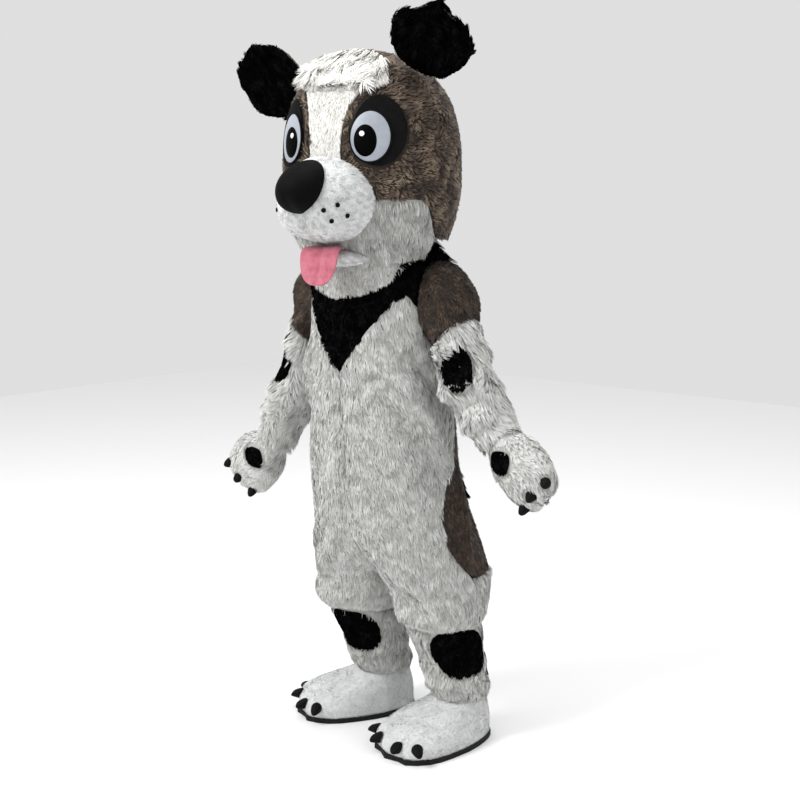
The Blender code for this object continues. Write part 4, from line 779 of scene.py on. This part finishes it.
# facing is the left flap's front; the back's pile is clipped shorter on the left ear, in millimetres
earSet = {
    "spread": 1.10, "round": 0.094, "corner": 0.12, "smoothings": 20, "facing": (0.306, -0.846, -0.31),
    "backLength": {"left": 9.0, "right": 18.0}, "inset": 0.0015, "seam": -0.45,
}
for side, word in ((1, "left"), (-1, "right")):
    ear = clothSurface(["ear_" + word], levels=2, whole=True, inset=earSet["inset"])
    front = Vector(earSet["facing"])
    front.x *= side
    front.normalize()
    middle = middleOf(ear)
    for vert in ear.verts:
        # corners of the flap are drawn in, so that its outline is round
        flat = (vert.co - middle) * earSet["spread"]
        depth = front * flat.dot(front)
        reach = (flat - depth).length
        if reach > earSet["round"]:
            pulled = earSet["round"] + (reach - earSet["round"]) * earSet["corner"]
            flat = depth + (flat - depth) * (pulled / reach)
        vert.co = middle + flat
    for _ in range(earSet["smoothings"]):
        bmesh.ops.smooth_vert(ear, verts=ear.verts[:], factor=0.5, use_axis_x=True, use_axis_y=True,
                              use_axis_z=True)
    ear.normal_update()
    addPadding("pad_ear_" + word, ear.copy(), blackKnit, ["ear_" + word])
    # faces turned further back than the seam carry the brown pile, the others the black
    for half, pile, fibre, lean in (
        ("front", dict(earPile, seed=401 + side), blackFur, -0.15),
        ("back", dict(earBackPile, length=earSet["backLength"][word], seed=421 + side), brownFur, 0.0),
    ):
        bm = ear.copy()
        gone = [face for face in bm.faces
                if (face.normal.dot(front) < earSet["seam"]) == (half == "front")]
        bmesh.ops.delete(bm, geom=gone, context="FACES")
        growFur(f"fur_ear_{half}_{word}", [bm], pile, fibre, towards((side * 0.35, lean, 0.9)))
print("ears furred")


# the tail: a stuffed brush whose pile runs to its tip
tailPile = dict(earPile, count=9500, length=40.0, width=3.8, lock=18.0, seed=451)
tail = clothSurface(["tail"], whole=True, inset=earSet["inset"])
addPadding("pad_tail", tail.copy(), blackKnit, ["tail"])
growFur("fur_tail", [tail], tailPile, blackFur, towards((0.0, 0.30, -0.95)))


# muzzle and lower jaw: foam under clipped white pile
muzzleCounts = {"muzzle": 26000, "jaw": 4500}
muzzlePile = {
    "length": 6.5, "width": 1.8, "lift": 34.0, "tipLift": 24.0, "swirl": 0.35, "stray": 0.30,
    "lock": 6.0, "pull": 0.35, "bends": False, "soft": 0.75, "seed": 501,
}


# the muzzle's two jowls, the cleft under the nose and the notch over the tongue, as folds
jowls = (
    ((33, -340, 98), (24, -262, 34), 9, -10), ((62, -322, 90), (104, -258, 60), 36, 8),
    ((4, -334, 90), (-44, -284, 60), 36, 8), ((-2, -272, 30), (48, -268, 30), 15, -9),
)
tongueCreases = (((30, -262, 22), (24, -276, -62), 4, -5),)
# the pile's flecks, and the shade under the jowls: below this height the tone falls at this rate
muzzleTone = {"fleck": 0.22, "fleckSize": 0.016, "seed": 88, "shadeFrom": 0.125, "shade": 1.4}


def muzzleNap(points):
    # away from the nose, backwards and a little down
    return unit(points - np.array(headSet["nose"])) + np.array([0.0, 0.6, -0.2])


def muzzleShade(points):
    flecks = muzzleTone["fleck"] * waves(points, muzzleTone["fleckSize"], muzzleTone["seed"])
    return flecks - muzzleTone["shade"] * np.clip(muzzleTone["shadeFrom"] - points[:, 2], 0.0, 0.2)


for name, count in muzzleCounts.items():
    block = clothSurface([name], levels=2, whole=True, inset=0.0010)
    creaseCloth(block, jowls if name == "muzzle" else ())
    addPadding("pad_" + name, block.copy(), clippedKnit, [name])
    # no pile grows where the block turns into the head
    hidden = [face for face in block.faces if face.normal.dot(faceward) < -0.2]
    bmesh.ops.delete(block, geom=hidden, context="FACES")
    cloth[name] = block
    growFur("pile_" + name, [block], dict(muzzlePile, count=count), whitePile, muzzleNap, toneAt=muzzleShade)

for name, material, slot in (("nose", noseVelvet, "black_felt"), ("tongue", tongueFleece, "pink_plush")):
    soft = clothSurface([name], levels=2, whole=True)
    creaseCloth(soft, tongueCreases if name == "tongue" else ())
    addPadding("pad_" + name, soft, material, [name])
print("muzzle made")


def ovalOn(tree, centre, across, upward, halfWide, halfHigh, rise, thick, rings=5, spokes=40):
    # a domed oval laid on a surface: points are cast onto it from in front
    outward = across.cross(upward).normalized()
    if outward.dot(centre - headCentre) < 0:
        outward.negate()
    bm = bmesh.new()
    bmesh.ops.create_circle(bm, cap_ends=True, cap_tris=False, segments=spokes, radius=1.0)
    inner = bm.faces[:]
    for _ in range(1, rings):
        bmesh.ops.inset_individual(bm, faces=inner, thickness=1.0 / rings * 0.98, depth=0.0)
    for vert in bm.verts:
        x, y = vert.co.x, vert.co.y
        reach = min(math.hypot(x, y), 1.0)
        start = centre + across * halfWide * x + upward * halfHigh * y + outward * 0.06
        hit, normal, _, _ = tree.ray_cast(start, -outward, 0.12)
        if hit is None:
            hit, normal, _, _ = tree.find_nearest(start)
        vert.co = hit + outward * (rise + thick * math.sqrt(max(1.0 - reach * reach, 0.0)))
    bm.normal_update()
    if sum((face.normal.dot(outward) for face in bm.faces), 0.0) < 0:
        bmesh.ops.reverse_faces(bm, faces=bm.faces[:])
    return bm


# eyes: satin ovals with a piped black edge, satin vinyl pupils and a small round highlight
eyeSet = {
    "pipe": 0.0025, "pupilWide": 0.027, "pupilHigh": 0.037, "pupilIn": -0.012, "pupilUp": -0.010,
    "shineSize": 0.0062, "shineIn": -0.008, "shineUp": 0.016, "pipeStitches": 48, "pipeFrom": 0.030,
}
for side, word in ((1, "left"), (-1, "right")):
    name = "eye_patch_" + word
    addPadding("felt_" + name, clothSurface([name], whole=True), blackFelt, [name])

    name = "eye_" + word
    dome = clothSurface([name], levels=2, whole=True)
    addPadding("dome_" + name, dome.copy(), eyeSatin, [name])
    centre = middleOf(dome)
    outward = centre - headCentre
    outward.z = 0.0
    outward.normalize()
    across = Vector((-outward.y, outward.x, 0.0)) * side
    upward = Vector((0.0, 0.0, 1.0))

    pupilAt = centre + across * eyeSet["pupilIn"] + upward * eyeSet["pupilUp"]
    pupil = ovalOn(BVHTree.FromBMesh(dome), pupilAt, across, upward, eyeSet["pupilWide"], eyeSet["pupilHigh"],
                   0.0004, 0.0016)
    shineAt = (centre + across * (eyeSet["pupilIn"] + eyeSet["shineIn"])
               + upward * (eyeSet["pupilUp"] + eyeSet["shineUp"]))
    shine = ovalOn(BVHTree.FromBMesh(pupil), shineAt, across, upward, eyeSet["shineSize"],
                   eyeSet["shineSize"], 0.0003, 0.0006, rings=3, spokes=24)
    addPiece("pupil_" + word, pupil, pupilVinyl, 0.0003)
    addPiece("shine_" + word, shine, highlightVinyl, 0.0002)

    # the piped edge follows the dome's own outline: the farthest point in each direction
    farthest = {}
    for vert in dome.verts:
        spot = vert.co - centre
        if spot.length <= eyeSet["pipeFrom"]:
            continue
        reach = math.hypot(spot.dot(upward), spot.dot(across))
        heading = math.atan2(spot.dot(upward), spot.dot(across)) + math.pi
        stitch = int(heading / (2 * math.pi) * eyeSet["pipeStitches"])
        if stitch not in farthest or reach > farthest[stitch][0]:
            farthest[stitch] = (reach, vert.co.copy())
    curve = bpy.data.curves.new("pipe", "CURVE")
    curve.dimensions = "3D"
    curve.bevel_depth = eyeSet["pipe"]
    curve.bevel_resolution = 1
    curve.resolution_u = 2
    line = curve.splines.new("NURBS")
    line.points.add(len(farthest) - 1)
    for point, stitch in zip(line.points, sorted(farthest)):
        point.co = tuple(farthest[stitch][1]) + (1.0,)
    line.use_cyclic_u = True
    draft = bpy.data.objects.new("pipe", curve)
    bpy.context.scene.collection.objects.link(draft)
    bm = bmesh.new()
    bm.from_mesh(draft.to_mesh())
    bpy.data.objects.remove(draft)
    addPiece("eye_edge_" + word, bm, blackFelt)
print("eyes made")


# whisker spots: a plain slanting group of four felt dots on each side of the muzzle
spotSet = {
    "size": 0.0058, "flatness": 0.45, "proud": 0.0040, "down": 0.022,
    "places": ((0.072, 0.000), (0.094, 0.012), (0.104, -0.012), (0.082, -0.024)),
}
muzzleTree = BVHTree.FromBMesh(cloth["muzzle"])
muzzleLow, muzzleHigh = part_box("muzzle")
muzzleMiddle = (Vector(muzzleLow) + Vector(muzzleHigh)) / 2
dots = bmesh.new()
for side in (1, -1):
    for outwards, up in spotSet["places"]:
        start = muzzleMiddle + sideward * outwards * side + faceward * 0.15
        start.z += up - spotSet["down"]
        hit, normal, _, _ = muzzleTree.ray_cast(start, -faceward, 0.4)
        if hit is None:
            continue
        dot = bmesh.new()
        bmesh.ops.create_uvsphere(dot, u_segments=14, v_segments=8, radius=spotSet["size"])
        bmesh.ops.scale(dot, verts=dot.verts[:], vec=(1.0, 1.0, spotSet["flatness"]))
        bmesh.ops.rotate(dot, verts=dot.verts[:], cent=(0, 0, 0),
                         matrix=normal.to_track_quat("Z", "Y").to_matrix())
        bmesh.ops.translate(dot, verts=dot.verts[:], vec=hit + normal * spotSet["proud"])
        joinInto(dots, dot)
addPiece("muzzle_dots", dots, blackFelt)


# paws and boots
pawPile = {
    "count": 10000, "length": 19.0, "width": 2.2, "lift": 20.0, "tipLift": 4.0, "swirl": 0.30, "stray": 0.15,
    "lock": 10.0, "pull": 0.42, "bends": True, "soft": 0.82, "seed": 601,
}
bootPile = {
    "count": 21000, "length": 5.5, "width": 1.9, "lift": 30.0, "tipLift": 20.0, "swirl": 0.25, "stray": 0.30,
    "lock": 7.0, "pull": 0.30, "bends": False, "soft": 0.80, "seed": 641,
}
# the claws' padding swells past their solids, about each claw's middle
clawSet = {"paw": {"number": 3, "growth": 1.45}, "foot": {"number": 4, "growth": 1.40}}
pawTone = 0.28
for side, word in ((1, "left"), (-1, "right")):
    clawNames = {kind: [f"{kind}_claw_{word}_{index + 1}" for index in range(claws["number"])]
                 for kind, claws in clawSet.items()}
    paw = clothSurface(["paw_" + word], inset=wallSet["inset"])
    addPadding("pad_paw_" + word, paw.copy(), shadedWhiteKnit, ["paw_" + word], wallSet["paw"])
    patch = spreadPatch("paw_patch_" + word, paw, patches["paw_patch_" + word]["growth"])
    patchCloth["paw_patch_" + word] = patch
    growFur("fur_paw_" + word, [paw], dict(pawPile, seed=601 + side), whiteFur,
            towards((side * 0.7, 0.0, -0.7)), toneAt=evenTone(pawTone), patched=[patch] + clawNames["paw"])

    boot = clothSurface(["foot_" + word], levels=2, inset=wallSet["inset"])
    addPadding("pad_boot_" + word, boot.copy(), clippedKnit, ["foot_" + word],
               wallSet["boot"])
    growFur("pile_boot_" + word, [boot], dict(bootPile, seed=641 + side), whitePile,
            towards((0.0, -0.5, -0.6)))

    for kind, names in clawNames.items():
        claws = bmesh.new()
        for single in names:
            claw = clothSurface([single], levels=2, whole=True)
            bmesh.ops.scale(claw, verts=claw.verts[:], vec=(clawSet[kind]["growth"],) * 3,
                            space=Matrix.Translation(-middleOf(claw)))
            joinInto(claws, claw)
        addPadding(f"claws_{kind}_{word}", claws, clawVinyl, names)
    nodes["sole_" + word].material_slots[0].material = soleFoam
nodes["zip"].material_slots[0].material = zipTape
print("paws and boots made")


def smallBlock(whole, middle, size):
    # a little block added to a mesh: its middle and its sides, in metres
    block = bmesh.new()
    bmesh.ops.create_cube(block, size=1.0, matrix=Matrix.Translation(middle) @ Matrix.Diagonal((*size, 1.0)))
    joinInto(whole, block)


# the back zip: teeth down the tape's middle, slider and puller at the top
zipSet = {
    "pitch": 0.0042, "step": 0.0011, "end": 0.012, "tooth": (0.0030, 0.0016, 0.0019),
    "slider": (0.0110, 0.0050, 0.0150), "sliderAt": (0.0, 0.0024, -0.004),
    "puller": (0.0055, 0.0016, 0.0300), "pullerAt": (0.0, 0.0056, -0.024),
}
zipLow, zipHigh = (Vector(corner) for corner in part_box("zip"))
tape = nodeMesh(["zip"])
tapeTree = BVHTree.FromBMesh(tape)
tape.free()
zipMiddle = (zipLow.x + zipHigh.x) / 2
teeth = bmesh.new()
height = zipLow.z + zipSet["end"]
while height < zipHigh.z - zipSet["end"]:
    spot = tapeTree.ray_cast(Vector((zipMiddle, zipHigh.y + 0.1, height)), Vector((0.0, -1.0, 0.0)), 0.4)[0]
    if spot is not None:
        sway = zipSet["step"] if round(height / zipSet["pitch"]) % 2 else -zipSet["step"]
        smallBlock(teeth, spot + Vector((sway, 0.0004, 0.0)), zipSet["tooth"])
        top = spot
    height += zipSet["pitch"]
smallBlock(teeth, top + Vector(zipSet["sliderAt"]), zipSet["slider"])
smallBlock(teeth, top + Vector(zipSet["pullerAt"]), zipSet["puller"])
addPiece("zip_teeth", teeth, zipMetal)
print("zip made")


# the patches themselves, with their own black pile
patchSet = {"strandsPerArea": 190000, "pawCount": 700, "pawLength": 6.0}
patchPile = {
    "length": 12.0, "width": 2.8, "lift": 24.0, "tipLift": 6.0, "swirl": 0.25, "stray": 0.14,
    "lock": 12.0, "pull": 0.50, "bends": True, "soft": 0.60, "seed": 701,
}
for number, (name, cut) in enumerate(patches.items()):
    surface = patchCloth[name]
    piece = addPiece("cloth_" + name, surface.copy(), blackKnit, wallSet["patch"])
    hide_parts(name)
    pile = dict(patchPile, count=int(patchSet["strandsPerArea"] * cut["area"]), seed=701 + number)
    if name.startswith("paw"):
        pile.update(count=patchSet["pawCount"], length=patchSet["pawLength"])
    grown = growFur("fur_" + name, [surface], pile, blackFur, downwards)
print("patches sewn")


# stage: pale floor, pale backdrop colour, soft boxes
floorSet = {"half": 6.0, "level": cadBox[0][2] - 0.0005}
floorMesh = bmesh.new()
bmesh.ops.create_grid(floorMesh, x_segments=2, y_segments=2, size=floorSet["half"])
bmesh.ops.translate(floorMesh, verts=floorMesh.verts[:], vec=(0, 0, floorSet["level"]))
floorData = bpy.data.meshes.new("floor")
floorMesh.to_mesh(floorData)
floorMesh.free()
floor = bpy.data.objects.new("floor", floorData)
bpy.context.scene.collection.objects.link(floor)
paper = newMaterial("matt white paper sweep", {"Roughness": 0.9, "Base Color": linear("#f4f4f4")})[0]
floor.data.materials.append(paper)

studioLight = 0.74
world = bpy.data.worlds.new("studio")
world.use_nodes = True
backdrop = world.node_tree.nodes["Background"]
backdrop.inputs["Color"].default_value = linear("#ffffff")
backdrop.inputs["Strength"].default_value = studioLight
bpy.context.scene.world = world
bpy.context.scene.view_settings.view_transform = "Standard"

lights = {
    "key": {"size": 1.8, "power": 170.0, "place": (-1.2, -3.4, 2.6), "aim": (0.0, 0.0, 0.0)},
    "fill": {"size": 3.0, "power": 20.0, "place": (3.8, -1.0, 1.4), "aim": (0.0, 0.0, -0.2)},
    "top": {"size": 2.6, "power": 90.0, "place": (0.2, 0.2, 3.4), "aim": (0.0, 0.0, 0.0)},
}
for name, light in lights.items():
    data = bpy.data.lights.new(name, "AREA")
    data.shape = "SQUARE"
    data.size = light["size"]
    data.energy = light["power"]
    lamp = bpy.data.objects.new(name, data)
    lamp.location = light["place"]
    lamp.rotation_euler = (Vector(light["aim"]) - Vector(light["place"])).to_track_quat("-Z", "Y").to_euler()
    bpy.context.scene.collection.objects.link(lamp)
print("stage set")
